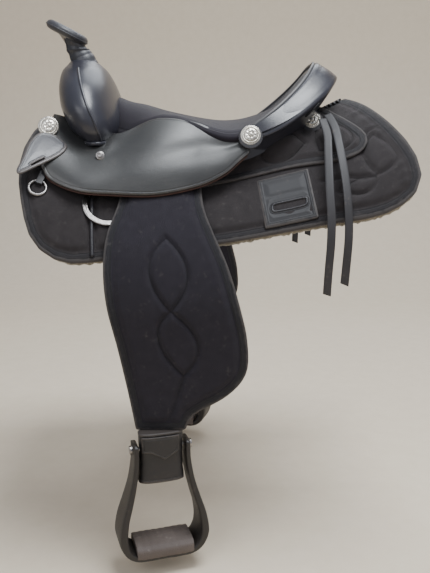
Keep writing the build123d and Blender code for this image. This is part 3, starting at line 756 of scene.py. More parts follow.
def loop(*runs):
    """A closed outline: a smooth curve through each run of points, and straight lines between."""
    return np.vstack([curve(run, 40) if len(run) > 2 else np.array(run, float) for run in runs])


def leaf(top, side, bottom, other):
    """A pointed quilted leaf: from its top to its bottom and back, each side bowed out to a point."""
    top, side, bottom, other = (np.array(p, float) for p in (top, side, bottom, other))
    t = np.linspace(0, 1, 30)[:, None]
    bow = 4 * t * (1 - t)
    first = top + (bottom - top) * t + bow * (side - (top + bottom) / 2)
    second = bottom + (top - bottom) * t + bow * (other - (top + bottom) / 2)
    return np.vstack([first, second[1:]])


SKIRT_EDGE = [
    (-300, 104), (-333, 71), (-348, 13), (-336, -54), (-311, -117), (-262, -149), (-195, -148), (-94, -134),
    (7, -122), (89, -108), (191, -88), (289, -68), (345, -28), (346, 24), (308, 83), (255, 130),
]
SKIRT = side_unroll(loop(SKIRT_EDGE))
HOUSING_EDGE = [(-27, -35), (56, -19), (139, 0), (221, 14), (262, 32), (268, 59), (224, 93), (180, 120)]
HOUSING = side_unroll(loop(HOUSING_EDGE, [(180, 122), (-20, 110)]), 7)
SKIRT_QUILT = [
    leaf((286, 56), (318, 22), (284, -10), (264, 24)),
    leaf((282, -14), (262, -40), (218, -40), (252, -18)),
    curve([(284, -10), (262, -17), (232, -17), (190, -24)], 30),
    curve([(264, 24), (274, 56), (300, 74)], 20),
    curve([(-224, -40), (-220, -100), (-216, -149)], 20),
    curve([(-213, -40), (-209, -100), (-205, -149)], 20),
]
HOUSING_QUILT = [
    leaf((84, 8), (116, 34), (164, 34), (124, 6)),
    curve([(196, 64), (216, 76), (220, 92), (206, 104)], 30),
    curve([(190, 26), (222, 26), (246, 42), (244, 62), (206, 78), (186, 52), (190, 26)], 50),
]


def side_start(x, y):
    """How far down the side, from the ridge's turn, a point at a small distance y from the middle is."""
    return (np.arcsin((np.abs(y) - ACROSS_U) / SIDE_RADIUS) - RIDGE_TURN) * SIDE_RADIUS + 0 * x


def over_bar(x, s, h):
    """A place on the rear housing, which rises over the end of the bar beneath it."""
    return side_place(x, s, h + 19 * (1 - step(118, 156, s)) * (1 - step(138, 176, x)))


def make_skirts():
    """The Cordura skirts with their bound edge and quilting, and the fleece under them."""
    middle = side_unroll([(0, -10)])[0]
    quilt = [side_unroll(line) for line in SKIRT_QUILT]
    skirt = panel(SKIRT, middle, side_place, 8, lift=-4, quilt=quilt, puff=4.6, band=14, gather=1.1)
    pair("quilted_skirt", skirt, "tree", REAR_CLOTH, ["skirt_*"])
    lining = middle + (SKIRT - middle) * 0.985
    fleece = panel(lining, middle, side_place, 12.5, lift=-14.6, shag=1.1, band=4, rings=40, around=400)
    pair("wool_lining", fleece, "tree", WOOL, ["fleece_*"])
    quilt = [side_unroll(line, 7) for line in HOUSING_QUILT]
    middle = side_unroll([(120, 40)], 7)[0]
    housing = panel(HOUSING, middle, over_bar, 5, lift=7.2, quilt=quilt, puff=4.6, band=11, gather=0.5)
    pair("quilted_housing", housing, "tree", REAR_CLOTH, ["rear_housing_*"])
    edge = side_unroll(curve([(-219, -44), (-215, -100), (-211, -147)], 60))
    bound = side_place(edge[:, 0], edge[:, 1], 2.5 + 0 * edge[:, 0])
    pair("lobe_edge", tube(bound, 3.2, 12), "tree", STRAP_LEATHER)
    t = np.linspace(0, 1, 140)
    x = 214 + 34 * t
    zigzag = 9 * np.sin(t * math.pi * 9)
    ridge = side_place(x, side_start(x, zigzag), 3.0 + 0 * x)
    lace = np.stack([x, zigzag, ridge[:, 2]], -1)
    piece("ridge_lace", *tube(lace, 2.0, 10), "tree", LACE_LEATHER, ["skirt_lacing"])


PLATE_SLOT_TURN = -1.5
TAB_LIFT = 32


def make_rear_plates():
    """The leather plate of the rear rigging: a raised border, an upper panel and a bound slot."""
    corners = side_unroll([(76, -26), (121, -15), (166, -4), (172, -42), (178, -80), (133, -90), (89, -99),
                           (82, -62)], 3)
    middle = side_unroll([(131, -63)], 3)[0]
    outline = np.vstack([corners, corners[:1]])
    fold = side_unroll([(86, -54), (130, -44), (172, -34)], 3)
    plate = panel(outline[:-1], middle, side_place, 4.2, lift=2.6, quilt=[even(fold, 30)], puff=1.6, band=7,
                  hole=(28, 6.0, PLATE_SLOT_TURN), rings=60, around=360)
    pair("slotted_plate", plate, "tree", PLATE_LEATHER, ["rear_rigging_plate_*"])
    turn = np.linspace(0, 2 * math.pi, 90, endpoint=False)
    ring = slot_loop(middle + 60 * np.stack([np.cos(turn), np.sin(turn)], -1), middle,
                     (30.0, 8.2, PLATE_SLOT_TURN))
    border = tube(side_place(ring[:, 0], ring[:, 1], 5.2 + 0 * turn), 2.0, 10, closed=True)
    pair("slot_border", border, "tree", STRAP_LEATHER)


def make_front_tabs():
    """The slotted leather tab under each front concho."""
    shape = [(-340, -5), (-310, 7), (-278, 23), (-269, 36), (-280, 47), (-296, 56), (-316, 58), (-328, 44),
             (-334, 20)]
    outline = side_unroll(curve(shape, 120, closed=True), TAB_LIFT)
    middle = side_unroll([(-310.5, 11)], TAB_LIFT)[0]
    tab = panel(outline, middle, side_place, 4, lift=TAB_LIFT, puff=0.6, band=4, hole=(15, 1.8, 48),
                rings=40, around=240)
    pair("slotted_tab", tab, "tree", TAB_LEATHER, ["front_tabs"])


# Stations of the seat jockey: X, then (distance from the middle, height) at top, half way, bottom.
JOCKEY = [
    (-308, 60, 92, 150, 42, 184, 4), (-290, 62, 88, 156, 34, 197, -20), (-240, 72, 74, 172, 12, 214, -38),
    (-180, 108, 56, 172, 14, 212, -44), (-105, 114, 84, 170, 26, 208, -46), (-30, 126, 76, 170, 24, 198, -32),
    (16, 148, 52, 170, 25, 188, -12), (45, 150, 52, 166, 34, 176, 12), (62, 151, 52, 162, 42, 168, 26),
]


def make_jockeys():
    """The seat jockeys: across each station a curve passes through its three points, and the
    lower flap bulges outward with a shallow valley running back to the concho."""
    x = np.linspace(-308, 62, 200)
    u0, z0, u1, z1, u2, z2 = (v[:, None] for v in reading(JOCKEY, x))
    t = np.linspace(0, 1, 90)[None]
    a, b, c = (1 - t) * (1 - 2 * t), 4 * t * (1 - t), t * (2 * t - 1)
    u, z = a * u0 + b * u1 + c * u2, a * z0 + b * z1 + c * z2
    valley = bump(t - (0.62 - 0.35 * step(-160, 60, x)[:, None]), 0.16) * step(-150, -40, x)[:, None]
    bulge = bump(t - 0.82, 0.2) * step(-260, -120, x)[:, None] * (1 - step(-10, 50, x)[:, None])
    under_swell = bump(t - 0.55, 0.3) * bump((x[:, None] + 240) / 60, 1)
    out = 2.2 * bulge - 3.2 * valley - 1.5 * under_swell
    grid = np.stack([np.broadcast_to(x[:, None], u.shape), -(u + out * 0.75), z + out * 0.66], -1)
    shape = lens(grid, 6.4, 1.6)
    pair("jockey_flap", shape, "tree", JOCKEY_LEATHER, ["seat_jockey_*"])
    rim = grid[4:-2, -1] + (0, 0.6, -1.6)
    pair("jockey_edge", tube(rim, 1.6, 10), "tree", RAW_EDGE)


SWELL = [
    (37, -217, 12, 138), (41, -218, 27, 144), (50, -221, 40, 150), (64, -226, 50, 158), (85, -232, 55, 160),
    (110, -240, 56, 152), (145, -248, 52, 122), (172, -253, 43, 80), (186, -255, 31, 44), (194, -257, 23, 25),
]
ARCH_RADIUS, ARCH_Z = 50, 60


def swell_place(turn, share, off=0.0):
    """A point of the swell: an oval at each level, which a share of the way from the gullet's
    arch to the horn gives, and turned about the upright axis."""
    y0 = SWELL[0][3] * np.sin(turn)
    arch = ARCH_Z + np.sqrt(np.clip(ARCH_RADIUS**2 - y0**2, 0, None))
    base = np.where(np.abs(y0) < ARCH_RADIUS, arch, SWELL[0][0])
    z = base + (SWELL[-1][0] - base) * share
    cx, rx, ry = reading(SWELL, z)
    power = 2 / 2.25
    x = cx + (rx + off) * np.sign(np.cos(turn)) * np.abs(np.cos(turn)) ** power
    y = -(ry + off) * np.sign(np.sin(turn)) * np.abs(np.sin(turn)) ** power
    return np.stack([x, y, z], -1)


def make_swell():
    """The swell's leather cover, with a welt down each side, and the roll round its base."""
    count = 360
    turn = np.linspace(0, 2 * math.pi, count, endpoint=False)
    share = np.linspace(0, 1, 70)[:, None]
    body = swell_place(turn[None], share)
    points = np.vstack([body.reshape(-1, 3), body[-1].mean(0) + (0, 0, 2)])
    faces = ring_faces(len(body), count, (False, True))
    j = np.arange(-count // 4, count // 4)
    other = count // 2 - j
    floor = np.stack([j % count, (j + 1) % count, (other - 1) % count, other % count], -1)
    faces += [list(dict.fromkeys(map(int, face))) for face in floor]
    faces = [face for face in faces if len(face) > 2]
    piece("swell_cover", points, faces, "tree", SWELL_LEATHER, ["fork_cover"])
    t = np.linspace(0.04, 0.9, 80)
    seam = swell_place(math.pi / 2 - 0.42 * (1 - t) ** 0.8 + 0.1, t, 0.3)
    pair("swell_welt", tube(seam, 2.3, 10), "tree", SWELL_LEATHER)
    base_turn = np.linspace(0.45, math.pi - 0.45, 140)
    roll = swell_place(base_turn, 0.025 + 0.1 * np.cos(base_turn) ** 4, 3.0)
    pair("swell_roll", tube(roll, 4.2, 14), "tree", SWELL_LEATHER)


CAP_AT, CAP_TILT = np.array([-286.5, 0, 246]), math.radians(27)


def cap_place(points):
    """From the cap's own axes to the saddle's: its front is raised by a turn about Y."""
    c, s = math.cos(CAP_TILT), math.sin(CAP_TILT)
    x, y, z = np.moveaxis(points, -1, 0)
    return np.stack([x * c + z * s, y, -x * s + z * c], -1) + CAP_AT


def turned(profile, around=96, ripple=None):
    """A profile of radii and heights turned about Z. ripple gives a change of radius and height
    from the angle and the share along the profile."""
    turn = np.linspace(0, 2 * math.pi, around, endpoint=False)
    r, z = profile[:, :1], profile[:, 1:]
    dr, dz = ripple(turn, np.linspace(0, 1, len(profile))[:, None]) if ripple else (0, 0)
    return closed_rings(np.stack([(r + dr) * np.cos(turn), (r + dr) * np.sin(turn), z + dz + 0 * turn], -1))


def make_horn():
    """The horn: a leaning neck wrapped in leather, and a tilted cap with a sewn rim."""
    profile = curve([(1, -9), (20, -9), (35, -8), (41, -4), (42.5, 1), (40, 6), (34, 9), (18, 10), (1, 10)],
                    70)
    points, faces = turned(profile, 128)
    piece("horn_cap", cap_place(points), faces, "tree", HORN_LEATHER, ["horn_cap_cover"])
    turn = np.linspace(0, 2 * math.pi, 96, endpoint=False)
    rim = np.stack([42.2 * np.cos(turn), 42.2 * np.sin(turn), -1 + 0 * turn], -1)
    piece("cap_welt", *tube(cap_place(rim), 1.5, 8, closed=True), "tree", HORN_LEATHER)
    line = curve([(-253, 0, 178), (-257, 0, 192), (-264, 0, 208), (-270, 0, 222), (-275, 0, 236)], 80)
    t = np.linspace(0, 1, 80)
    girth = np.interp(t, [0, 0.2, 0.5, 0.75, 1], [28, 24.5, 20.5, 21, 24])
    girth = girth + 0.7 * np.abs(np.sin(t * math.pi * 5.5)) + 1.2 * bump(t - 0.62, 0.03)
    ahead = np.gradient(line, axis=0)
    lean = np.array([math.sin(CAP_TILT), 0, math.cos(CAP_TILT)])
    ahead /= np.linalg.norm(ahead, axis=1, keepdims=True)
    ahead += (lean - ahead) * step(0.35, 1, t)[:, None]
    ahead /= np.linalg.norm(ahead, axis=1, keepdims=True)
    side = np.array([0.0, 1.0, 0.0])
    up = np.cross(ahead, side)
    around = np.linspace(0, 2 * math.pi, 72, endpoint=False)[None, :, None]
    rings = line[:, None] + girth[:, None, None] * (np.cos(around) * side + np.sin(around) * up[:, None])
    piece("horn_neck", *closed_rings(rings), "tree", HORN_LEATHER, ["horn_wrap"])
    seam = line + (girth[:, None] + 0.2) * (0.8 * up - 0.6 * side)
    piece("neck_seam", *tube(seam[12:72], 1.4, 8), "tree", HORN_LEATHER)


# The seat's stations: X, height at the middle, half width, height at the edge.
SEAT = [
    (-196, 128, 78, 52), (-165, 116, 108, 54), (-135, 110, 117, 70), (-100, 100, 120, 88), (-70, 93, 123, 89),
    (-40, 87, 133, 80), (-8, 82, 149, 67), (22, 80, 159, 60), (58, 84, 158, 63), (100, 97, 140, 74),
    (134, 112, 118, 90),
]
# The cantle's stations: the turn in degrees, then (radius, height) of inner foot, inner rim,
# outer rim and outer foot.
CANTLE_X = 9
CANTLE = [
    (0, 110, 76, 181, 189, 225, 168, 165, 80), (14, 111, 73, 180, 181, 223, 160, 165, 76),
    (28, 112, 66, 176, 155, 216, 134, 163, 62), (55, 122, 50, 166, 98, 190, 78, 158, 48),
    (72, 135, 44, 158, 64, 166, 54, 150, 42),
]


def seat_height(x, y):
    """The seat's height: an arch across each station, or the cantle's inner wall where that is
    higher, with a soft hollow between them."""
    top, half, edge = reading(SEAT, np.clip(x, -196, 134))
    arch = edge + (top - edge) * (1 - np.clip(np.abs(y) / half, 0, 1.2) ** 2.2)
    radius = np.hypot(x - CANTLE_X, y)
    turn = np.degrees(np.arctan2(np.abs(y), x - CANTLE_X))
    foot_r, foot_z, rim_r, rim_z = reading(CANTLE, np.clip(turn, 0, 72))[:4]
    wall = foot_z + (rim_z - foot_z) * (radius - foot_r) / (rim_r - foot_r)
    wall = wall - 90 * step(66, 84, turn)
    return 0.5 * (arch + wall + np.sqrt((arch - wall) ** 2 + 16**2)) - 2


def make_seat():
    """The padded seat, from behind the swell up the inner face of the cantle, in one sheet of
    soft leather with a rolled and sewn edge."""
    x = np.linspace(-200, 57.8, 60)
    half = reading(SEAT, np.clip(x, -196, 134))[1]
    left = np.stack([x, -half], -1)
    turn = np.radians(np.linspace(72, 0, 50))
    rim = reading(CANTLE, np.degrees(turn))[2]
    back = np.stack([CANTLE_X + rim * np.cos(turn), -rim * np.sin(turn)], -1)
    side = np.vstack([left, back[1:]])
    outline = np.vstack([side, side[-2::-1] * (1, -1)])
    edge = even(np.vstack([outline, outline[:1]]), 481)
    ring = edge[:-1]
    middle = np.array([-20.0, 0.0])
    flat = middle + np.linspace(0.01, 1, 100)[:, None, None] * (ring - middle)
    depth, reach = nearest(flat, edge)
    z = seat_height(flat[..., 0], flat[..., 1])
    z = z + 2.2 * step(7, 17, depth) - 1.0 * bump(depth - 7, 2.2) - 4.0 * (1 - step(0, 4, depth))
    top = np.concatenate([flat, z[..., None]], -1)
    out = (ring - middle) / np.linalg.norm(ring - middle, axis=1, keepdims=True)
    drop = [(1.0, -2.5), (1.0, -6.5), (-1.0, -10.0), (-6.0, -11.5)]
    roll = [np.concatenate([ring + out * a, (z[-1] + b)[:, None]], -1) for a, b in drop]
    low = middle + np.linspace(0.93, 0.02, 12)[:, None, None] * (ring - middle)
    low = np.concatenate([low, (seat_height(low[..., 0], low[..., 1]) - 12)[..., None]], -1)
    rows = np.concatenate([top, roll, low])
    extra = len(rows) - len(top)
    marks = {
        "edge": np.concatenate([depth, np.zeros((extra, 480))]),
        "reach": np.concatenate([reach, np.repeat(reach[-1:], extra, 0)]),
    }
    marks = {key: np.append(value.ravel(), [90.0, 90.0]) for key, value in marks.items()}
    points, faces = closed_rings(rows)
    seat = piece("padded_seat", points, faces, "tree", SEAT_SUEDE, ["seat"], marks)


def make_cantle():
    """The cantle's cover: a rolled section from the seat over the top and down the back, turned
    round the seat and drawn in at its ends, with the welt that joins it to the seat."""
    turn = np.linspace(-72, 72, 180)
    stations = [v[:, None] for v in reading(CANTLE, np.abs(turn))]
    foot_r, foot_z, rim_r, rim_z, top_r, top_z, low_r, low_z = stations
    r = [foot_r + 10, 0.4 * foot_r + 0.6 * rim_r + 3, rim_r + 2, rim_r + 0.45 * (top_r - rim_r), top_r - 3,
         top_r + 3,
         0.5 * (low_r + top_r) + 9, low_r + 9, low_r - 4, foot_r + 14]
    z = [foot_z - 6, 0.4 * foot_z + 0.6 * rim_z, rim_z - 1, rim_z + 0.45 * (top_z - rim_z) + 5, top_z + 3,
         top_z - 9,
         0.5 * (low_z + top_z) - 3, low_z - 5, low_z - 22, foot_z - 26]
    profile = np.stack([np.hstack(r), np.hstack(z)], -1)
    loops = np.stack([curve(row, 97, closed=True)[:-1] for row in profile])
    ends = np.clip((72 - np.abs(turn)) / 7, 0, 1)[:, None]
    ends = np.sqrt(1 - (1 - ends) ** 2) * 0.98 + 0.02
    centre = loops.mean(1, keepdims=True)
    loops = centre + (loops - centre) * ends[..., None]
    a = np.radians(turn)[:, None]
    rings = np.stack([CANTLE_X + loops[..., 0] * np.cos(a), -loops[..., 0] * np.sin(a), loops[..., 1]], -1)
    piece("cantle_roll", *closed_rings(rings), "tree", SWELL_LEATHER, ["cantle_cover"])
    a = np.radians(turn[4:-4])
    rim, high = rim_r[4:-4, 0] + 1.5, rim_z[4:-4, 0] + 0.5
    welt = np.stack([CANTLE_X + rim * np.cos(a), -rim * np.sin(a), high], -1)
    piece("cantle_welt", *tube(welt, 3.0, 12), "tree", PIPING)
    # A near-black tube along the slit in the cantle's back: painted shade where the gap falls in shadow.
    t = np.linspace(0, 1, 24)
    slit_turn = 39 - 6 * t
    top_r, top_z, low_r, low_z = reading(CANTLE, slit_turn)[4:]
    share = 0.62 + 0.24 * t
    slit_r = low_r + (top_r - low_r) * share + 11.5
    a = np.radians(slit_turn)
    slit = np.stack([CANTLE_X + slit_r * np.cos(a), -slit_r * np.sin(a),
                     low_z + (top_z - low_z) * share - 2], -1)
    pair("cantle_slit_shade", tube(slit, 1.6, 8), "tree", SLIT_SHADE)


# ---------------------------------------------------------------- fittings


def side_frame(x, u, off):
    """A point on the left side and its directions ahead, up the side and outward."""
    s = (math.asin((u - ACROSS_U) / (SIDE_RADIUS + off)) - RIDGE_TURN) * SIDE_RADIUS
    near = side_place(np.array([x, x + 1, x]), np.array([s, s, s + 1]), np.full(3, float(off)))
    ahead, down = near[1] - near[0], near[2] - near[0]
    ahead /= np.linalg.norm(ahead)
    down /= np.linalg.norm(down)
    outward = np.cross(down, ahead)
    outward /= np.linalg.norm(outward)
    return near[0], ahead, np.cross(outward, ahead), outward


def set_on(shape, x, u, off):
    """A shape made about Z, set on the left side and facing more to the side than its place does."""
    origin, ahead, _, outward = side_frame(x, u, off)
    outward = 0.4 * outward + (0, -0.6, 0.0)
    outward /= np.linalg.norm(outward)
    up = np.cross(outward, ahead)
    up /= np.linalg.norm(up)
    ahead = np.cross(up, outward)
    return origin + 7.5 * outward + shape[0] @ np.stack([ahead, up, outward]), shape[1]


def concho(radius):
    """A silver concho: a domed flower in a beaded ring, with a scalloped rim."""
    profile = curve([(0.3, 5.2), (3, 5.0), (4.2, 3.6), (7, 4.4), (11, 3.6), (12.2, 2.4), (13.2, 3.2),
                     (14.6, 3.2),
                     (15.6, 1.8), (17.6, 1.6), (18, 0.6), (17, 0), (1, 0)], 90)
    profile = profile * (radius / 18, 1)

    def ripple(turn, share):
        petals = 0.35 * np.cos(8 * turn) * bump(share - 0.2,
                                                0.06) + 0.3 * np.cos(40 * turn) * bump(share - 0.4, 0.02)
        scallop = 0.4 * np.cos(24 * turn) * bump(share - 0.57, 0.05)
        return scallop, petals

    return turned(profile, 192, ripple)


def rosette(radius):
    """A leather rosette with a pinked edge."""
    profile = curve([(0.5, 2.4), (radius - 2, 2.4), (radius, 1.6), (radius, 0.6), (radius - 1, 0), (0.5, 0)],
                    40)
    return turned(profile, 192, lambda turn, share: (0.6 * np.cos(32 * turn) * bump(share - 0.5, 0.2),
                                                     0 * turn))


CONCHOS = [(-305, 121, 32), (64, 160, 64.8), (183, 80, 18.8)]


def make_fittings():
    """Conchos, their rosettes, and the screw and washer under the swell."""
    shapes = [set_on(concho(r), *at) for at, r in zip(CONCHOS, (18.5, 18, 16.5))]
    pair("silver_conchos", join(*shapes), "tree", SILVER, ["conchos"])
    pair("pinked_seat_rosette", set_on(rosette(21.5), 64, 160, 62), "tree", STRAP_LEATHER, ["seat_rosettes"])
    pair("pinked_rear_rosette", set_on(rosette(21), 183, 80, 16), "tree", STRAP_LEATHER, ["rear_rosettes"])
    screw = curve([(0.2, 3.6), (2.4, 3.7), (2.6, 4.4), (4.6, 4.0), (5.0, 2.4), (5.6, 2.0), (7.2, 1.6),
                   (7.6, 0.4), (1, 0)], 60)
    pair("domed_screw", set_on(turned(screw, 64), -206, 162, 36), "tree", STAINLESS, ["jockey_screws"])


# ---------------------------------------------------------------- the leg


def make_fenders():
    """The fenders: quilted Cordura with a bound edge, hung from under the jockey."""
    front = [(-162, -24), (-170, -66), (-185, -110), (-189, -160), (-183, -225), (-166, -300), (-150, -380),
             (-138, -448)]
    rear = [(-54, -448), (-38, -420), (20, -385), (52, -345), (54, -290), (42, -232), (20, -160), (-8, -100),
            (-22, -66),
            (-28, -24)]
    outline = leg_unroll(loop(front, rear))
    quilt = [
        leaf((-84, -116), (-112, -169), (-75, -234), (-47, -173)),
        leaf((-75, -234), (-97, -284), (-54, -348), (-29, -293)),
        curve([(-54, -348), (-66, -390), (-80, -430)], 20),
    ]
    quilt = [leg_unroll(line) for line in quilt]
    middle = leg_unroll([(-75, -250)])[0]
    shape = panel(outline, middle, leg_place, 4.4, quilt=quilt, puff=4.2, band=13, gather=0.3, rings=110)
    for o, (side, sign) in zip(pair("quilted_fender", shape, "", FRONT_CLOTH, ["fender_*"]), SIDES):
        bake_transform(o)


def neck_place(points):
    """From the neck's own axes to the saddle's: turned about the upright and set on the leg."""
    c, s = math.cos(NECK_YAW), math.sin(NECK_YAW)
    x, y, z = np.moveaxis(np.asarray(points, float), -1, 0)
    return np.stack([LEG_X + x * c - y * s, NECK_Y + x * s + y * c, z], -1)


def oval(turn, a, b, power):
    """A superellipse of half sizes a and b."""
    c, s = np.cos(turn), np.sin(turn)
    return a * np.sign(c) * np.abs(c) ** (2 / power), b * np.sign(s) * np.abs(s) ** (2 / power)


def make_wraps():
    """The hobble wrap round the neck, with a pointed flap folded over its outer face."""
    turn = np.linspace(0, 2 * math.pi, 160, endpoint=False)[None]
    z = np.linspace(-452, -542, 60)[:, None]
    t = (z + 452) / -90
    grow = 1 - 0.05 * np.sin(math.pi * t) + 0.03 * t + 0.006 * np.sin(t * 23 + 3 * turn)
    x, y = oval(turn, 40 * grow, 17 * grow, 3.2)
    lip = np.array([(1.0, 0.9), (0.96, 1.6), (0.915, 0.4)])
    outer = np.stack([x, y, z + 0 * x], -1)
    inner = outer[:6:-1] * (0.89, 0.74, 1)
    low = [outer[-1] * (k, k, 1) - (0, 0, d) for k, d in lip]
    high = [outer[0] * (k, k, 1) + (0, 0, d)
            for k, d in ((0.1, 2.2), (0.5, 2.2), (0.8, 2.1), (0.92, 1.9), (0.98, 1.2))]
    rows = np.concatenate([high, outer, low, inner])
    depth = np.clip(np.minimum(-452 - rows[..., 2], rows[..., 2] + 542), 0, 99)
    marks = {"edge": depth.ravel(), "reach": np.broadcast_to(turn * 30, depth.shape).ravel()}
    marks = {key: np.append(value, [9.0, 9.0]) for key, value in marks.items()}
    points, faces = closed_rings(neck_place(rows))
    pair("hobble_leather", (points, faces, marks), "neck_*", WRAP_LEATHER, ["hobble_wrap_*"])
    u, v = np.meshgrid(np.linspace(-37, 30, 60), np.linspace(0, 1, 40), indexing="ij")
    low_edge = -484 - 15 * np.clip(1 - np.abs(u - 4) / 26, 0, 1)
    level = -455 + (low_edge + 455) * v
    face = -(17 * (1 - (np.abs(u) / 41) ** 3.2) ** (1 / 3.2)) - 2.4
    flap = lens(neck_place(np.stack([u, face, level], -1)), 3.0)
    pair("wrap_flap", flap, "neck_*", WRAP_LEATHER)


def make_stirrups():
    """The bell stirrups: a rounded band carried round the bell, deeper and thicker low down,
    and the leather sleeve on the tread."""
    half = [(0, -683), (30, -683), (52, -680), (67, -668), (74.5, -645), (71, -612), (62, -580), (53, -545),
            (47, -505),
            (46.6, -472)]
    path = curve([(-x, z) for x, z in half[:0:-1]] + half, 200)
    share = np.abs(2 * np.linspace(0, 1, 200) - 1)
    thick = np.interp(share, [0, 0.2, 0.35, 0.5, 0.75, 1], [5, 6.5, 8.5, 7.0, 5.4, 4.6])[:, None]
    deep = np.interp(share, [0, 0.35, 0.45, 0.75, 1], [32.5, 32.5, 31, 22, 19])[:, None]
    ahead = np.gradient(path, axis=0)
    ahead /= np.linalg.norm(ahead, axis=1, keepdims=True)
    turn = np.linspace(0, 2 * math.pi, 56, endpoint=False)[None]
    a, b = oval(turn, thick, deep, 5)
    x, z = path[:, :1] - a * ahead[:, 1:], path[:, 1:] + a * ahead[:, :1]
    rings = neck_place(np.stack([x, b, z], -1))
    pair("bell_stirrup", closed_rings(rings), "stirrup_*_body", STIRRUP_LEATHER, ["stirrup_*"])
    along_x = np.linspace(-52, 52, 120)[:, None]
    worn = 1 - 0.06 * bump(along_x, 30)
    turn = np.linspace(0, 2 * math.pi, 96, endpoint=False)[None]
    b, a = oval(turn, 35 * (1 - 0.05 * (along_x / 52) ** 6), 15 * worn, 3.4)
    a = a + 0.35 * np.sin(along_x * 0.5 + 0.6 * np.sin(3 * turn)) + 0.3 * np.sin(b * 0.7)
    rings = neck_place(np.stack([along_x + 0 * a, b, a - 673], -1))
    pair("tread_sleeve", closed_rings(rings), "stirrup_*_body", TREAD_COVER, ["tread_*"])


# ---------------------------------------------------------------- saddle strings

# The routes of the left-hand strings, in metres.
FRONT_STRING = [
    (0.196, -0.124, 0.084), (0.203, -0.151, 0.062), (0.2, -0.181, 0.034), (0.198, -0.212, 0.0),
    (0.197, -0.238, -0.038), (0.199, -0.258, -0.08), (0.198, -0.267, -0.124), (0.195, -0.268, -0.168),
    (0.194, -0.265, -0.212),
]
REAR_STRING = [
    (0.207, -0.11, 0.092), (0.217, -0.139, 0.074), (0.219, -0.17, 0.049), (0.222, -0.202, 0.017),
    (0.226, -0.229, -0.021), (0.228, -0.251, -0.063), (0.229, -0.262, -0.108), (0.226, -0.266, -0.152),
    (0.224, -0.263, -0.194),
]


def string_line(route):
    """Points along the smooth spline of a string's route, in metres."""
    data = bpy.data.curves.new("route", "CURVE")
    data.dimensions = "3D"
    spline = data.splines.new("NURBS")
    spline.points.add(len(route) - 1)
    spline.points.foreach_set("co", np.hstack([route, np.ones((len(route), 1))]).ravel())
    spline.order_u = 3
    spline.use_endpoint_u = True
    carrier = bpy.data.objects.new("route", data)
    mesh = bpy.data.meshes.new_from_object(carrier)
    line = np.zeros(len(mesh.vertices) * 3)
    mesh.vertices.foreach_get("co", line)
    bpy.data.objects.remove(carrier)
    bpy.data.meshes.remove(mesh)
    return line.reshape(-1, 3)


def make_strings():
    """The flat leather strings: a thin strap along each route, cut off at a slant."""
    for name, route in (("front_string", FRONT_STRING), ("rear_string", REAR_STRING)):
        for side, sign in SIDES:
            line = string_line(np.array(route) * (1, sign, 1))
            path = even(line / MM, 150)
            ahead = np.gradient(path, axis=0)
            ahead /= np.linalg.norm(ahead, axis=1, keepdims=True)
            wide = np.array([1.0, 0.0, 0.0]) - ahead * ahead[:, :1]
            wide /= np.linalg.norm(wide, axis=1, keepdims=True)
            normal = np.cross(ahead, wide)
            t = np.linspace(0, 1, 150)[:, None]
            twist = 0.22 * np.sin(t * 5 + (0 if name == "front_string" else 1.5))
            wide, normal = (wide * np.cos(twist) + normal * np.sin(twist),
                            normal * np.cos(twist) - wide * np.sin(twist))
            section = [(-7.2, -0.9), (-6.6, -1.4), (-3.5, -1.5), (0, -1.5), (3.5, -1.5), (6.6, -1.4),
                       (7.2, -0.9),
                       (7.2, 0.9), (6.6, 1.4), (3.5, 1.5), (0, 1.5), (-3.5, 1.5), (-6.6, 1.4), (-7.2, 0.9)]
            section = np.array(section)
            slant = (section[:, 0] * 0.35)[None, :, None] * step(0.93, 1, t)[..., None]
            rings = (path[:, None] + section[None, :, :1] * wide[:, None]
                     + section[None, :, 1:] * normal[:, None]
                     + slant * ahead[:, None])
            points, faces = closed_rings(rings)
            strap = piece(f"flat_{name}_{side}", points, faces, "tree", LACE_LEATHER, [f"{name}_{side}"])


# ---------------------------------------------------------------- the frame's own nodes


def finish_frame():
    """Gives every node that still shows its material."""
    finishes = {
        "bar": TIMBER, "fork": PLAIN_LEATHER, "ground_seat": PLAIN_LEATHER, "cantle_core": SWELL_LEATHER,
        "horn_core": STAINLESS,
        "ring_keepers": PLAIN_LEATHER, "rigging_straps": PLAIN_LEATHER, "skirt_lacing": LACE_LEATHER,
        "breast_ring": STAINLESS, "rigging_ring": STAINLESS, "stirrup_leather": PLAIN_LEATHER,
        "buckle": STAINLESS,
        "leather_loop": PLAIN_LEATHER, "bolt_roller": STAINLESS, "stirrup_bolt": STAINLESS,
    }
    for name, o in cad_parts.items():
        for start, material in finishes.items():
            if name.startswith(start):
                o.data.materials.clear()
                o.data.materials.append(material)


def lamp(name, place, turn, size, power, colour=(1, 1, 1)):
    """A soft square light."""
    data = bpy.data.lights.new(name, "AREA")
    data.size, data.energy, data.color = size, power, colour
    o = bpy.data.objects.new(name, data)
    o.location, o.rotation_euler = place, [math.radians(v) for v in turn]
    bpy.context.collection.objects.link(o)


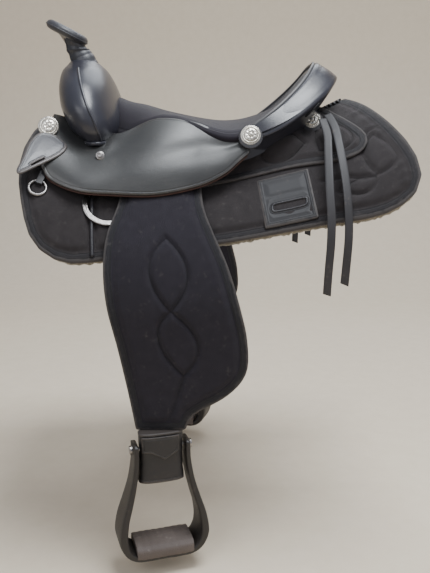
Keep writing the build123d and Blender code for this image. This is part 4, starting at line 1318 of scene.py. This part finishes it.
def make_stage():
    """A pale floor that curves up into a backdrop, a pale sky, soft lights and the camera."""
    x = np.linspace(-6, 6, 3)
    bend = np.radians(np.linspace(0, 90, 24))
    y = np.concatenate([[-6.0], 1.6 + 1.2 * np.sin(bend), [2.8]])
    z = np.concatenate([[0.0], 1.2 - 1.2 * np.cos(bend), [6.0]]) - 0.72
    points = np.stack([np.repeat(x, len(y)), np.tile(y, 3), np.tile(z, 3)], -1)
    i, j = np.arange(2)[:, None] * len(y), np.arange(len(y) - 1)[None]
    faces = np.stack([i + j, i + j + len(y), i + j + len(y) + 1, i + j + 1], -1).reshape(-1, 4)
    mesh = bpy.data.meshes.new("floor")
    mesh.from_pydata(points.tolist(), [], faces.tolist())
    mesh.polygons.foreach_set("use_smooth", np.ones(len(mesh.polygons), bool))
    paper = Finish("paper", 0.9)
    fibre = node(paper.tree, "ShaderNodeTexNoise", {"Scale": 30.0, "Detail": 6.0}, {"Vector": paper.place})
    paper.colour(paper.mix(fibre.outputs[0], (0.72, 0.62, 0.48), (0.8, 0.7, 0.56)))
    mesh.materials.append(paper.material)
    floor = bpy.data.objects.new("floor", mesh)
    bpy.context.collection.objects.link(floor)

    world = bpy.data.worlds.new("sky")
    world.use_nodes = True
    world.node_tree.nodes["Background"].inputs["Color"].default_value = (0.8, 0.86, 1.0, 1)
    world.node_tree.nodes["Background"].inputs["Strength"].default_value = 0.4
    bpy.context.scene.world = world
    lamp("overhead", (0.6, -0.5, 2.4), (0, 0, 0), 1.3, 105, (0.93, 0.97, 1.0))
    lamp("front", (-1.5, -2.4, 1.6), (58, 0, -32), 1.8, 22)
    lamp("rear", (1.9, -1.6, 1.2), (62, 0, 50), 1.4, 10)
    lamp("behind", (0.4, 1.6, 1.9), (-48, 0, 0), 1.5, 24, (0.86, 0.93, 1.0))

    data = bpy.data.cameras.new("camera")
    data.sensor_fit, data.sensor_width, data.sensor_height, data.lens = "VERTICAL", 36, 36, 46.5
    camera = bpy.data.objects.new("camera", data)
    camera.location = (0, -1.51, 0.1)
    camera.rotation_euler = (math.radians(90 - 13.4), 0, 0)
    bpy.context.collection.objects.link(camera)
    bpy.context.scene.camera = camera


make_stage()
make_strings()
make_skirts()
make_rear_plates()
make_front_tabs()
make_jockeys()
make_swell()
make_horn()
make_seat()
make_cantle()
make_fittings()
make_fenders()
make_wraps()
make_stirrups()
finish_frame()
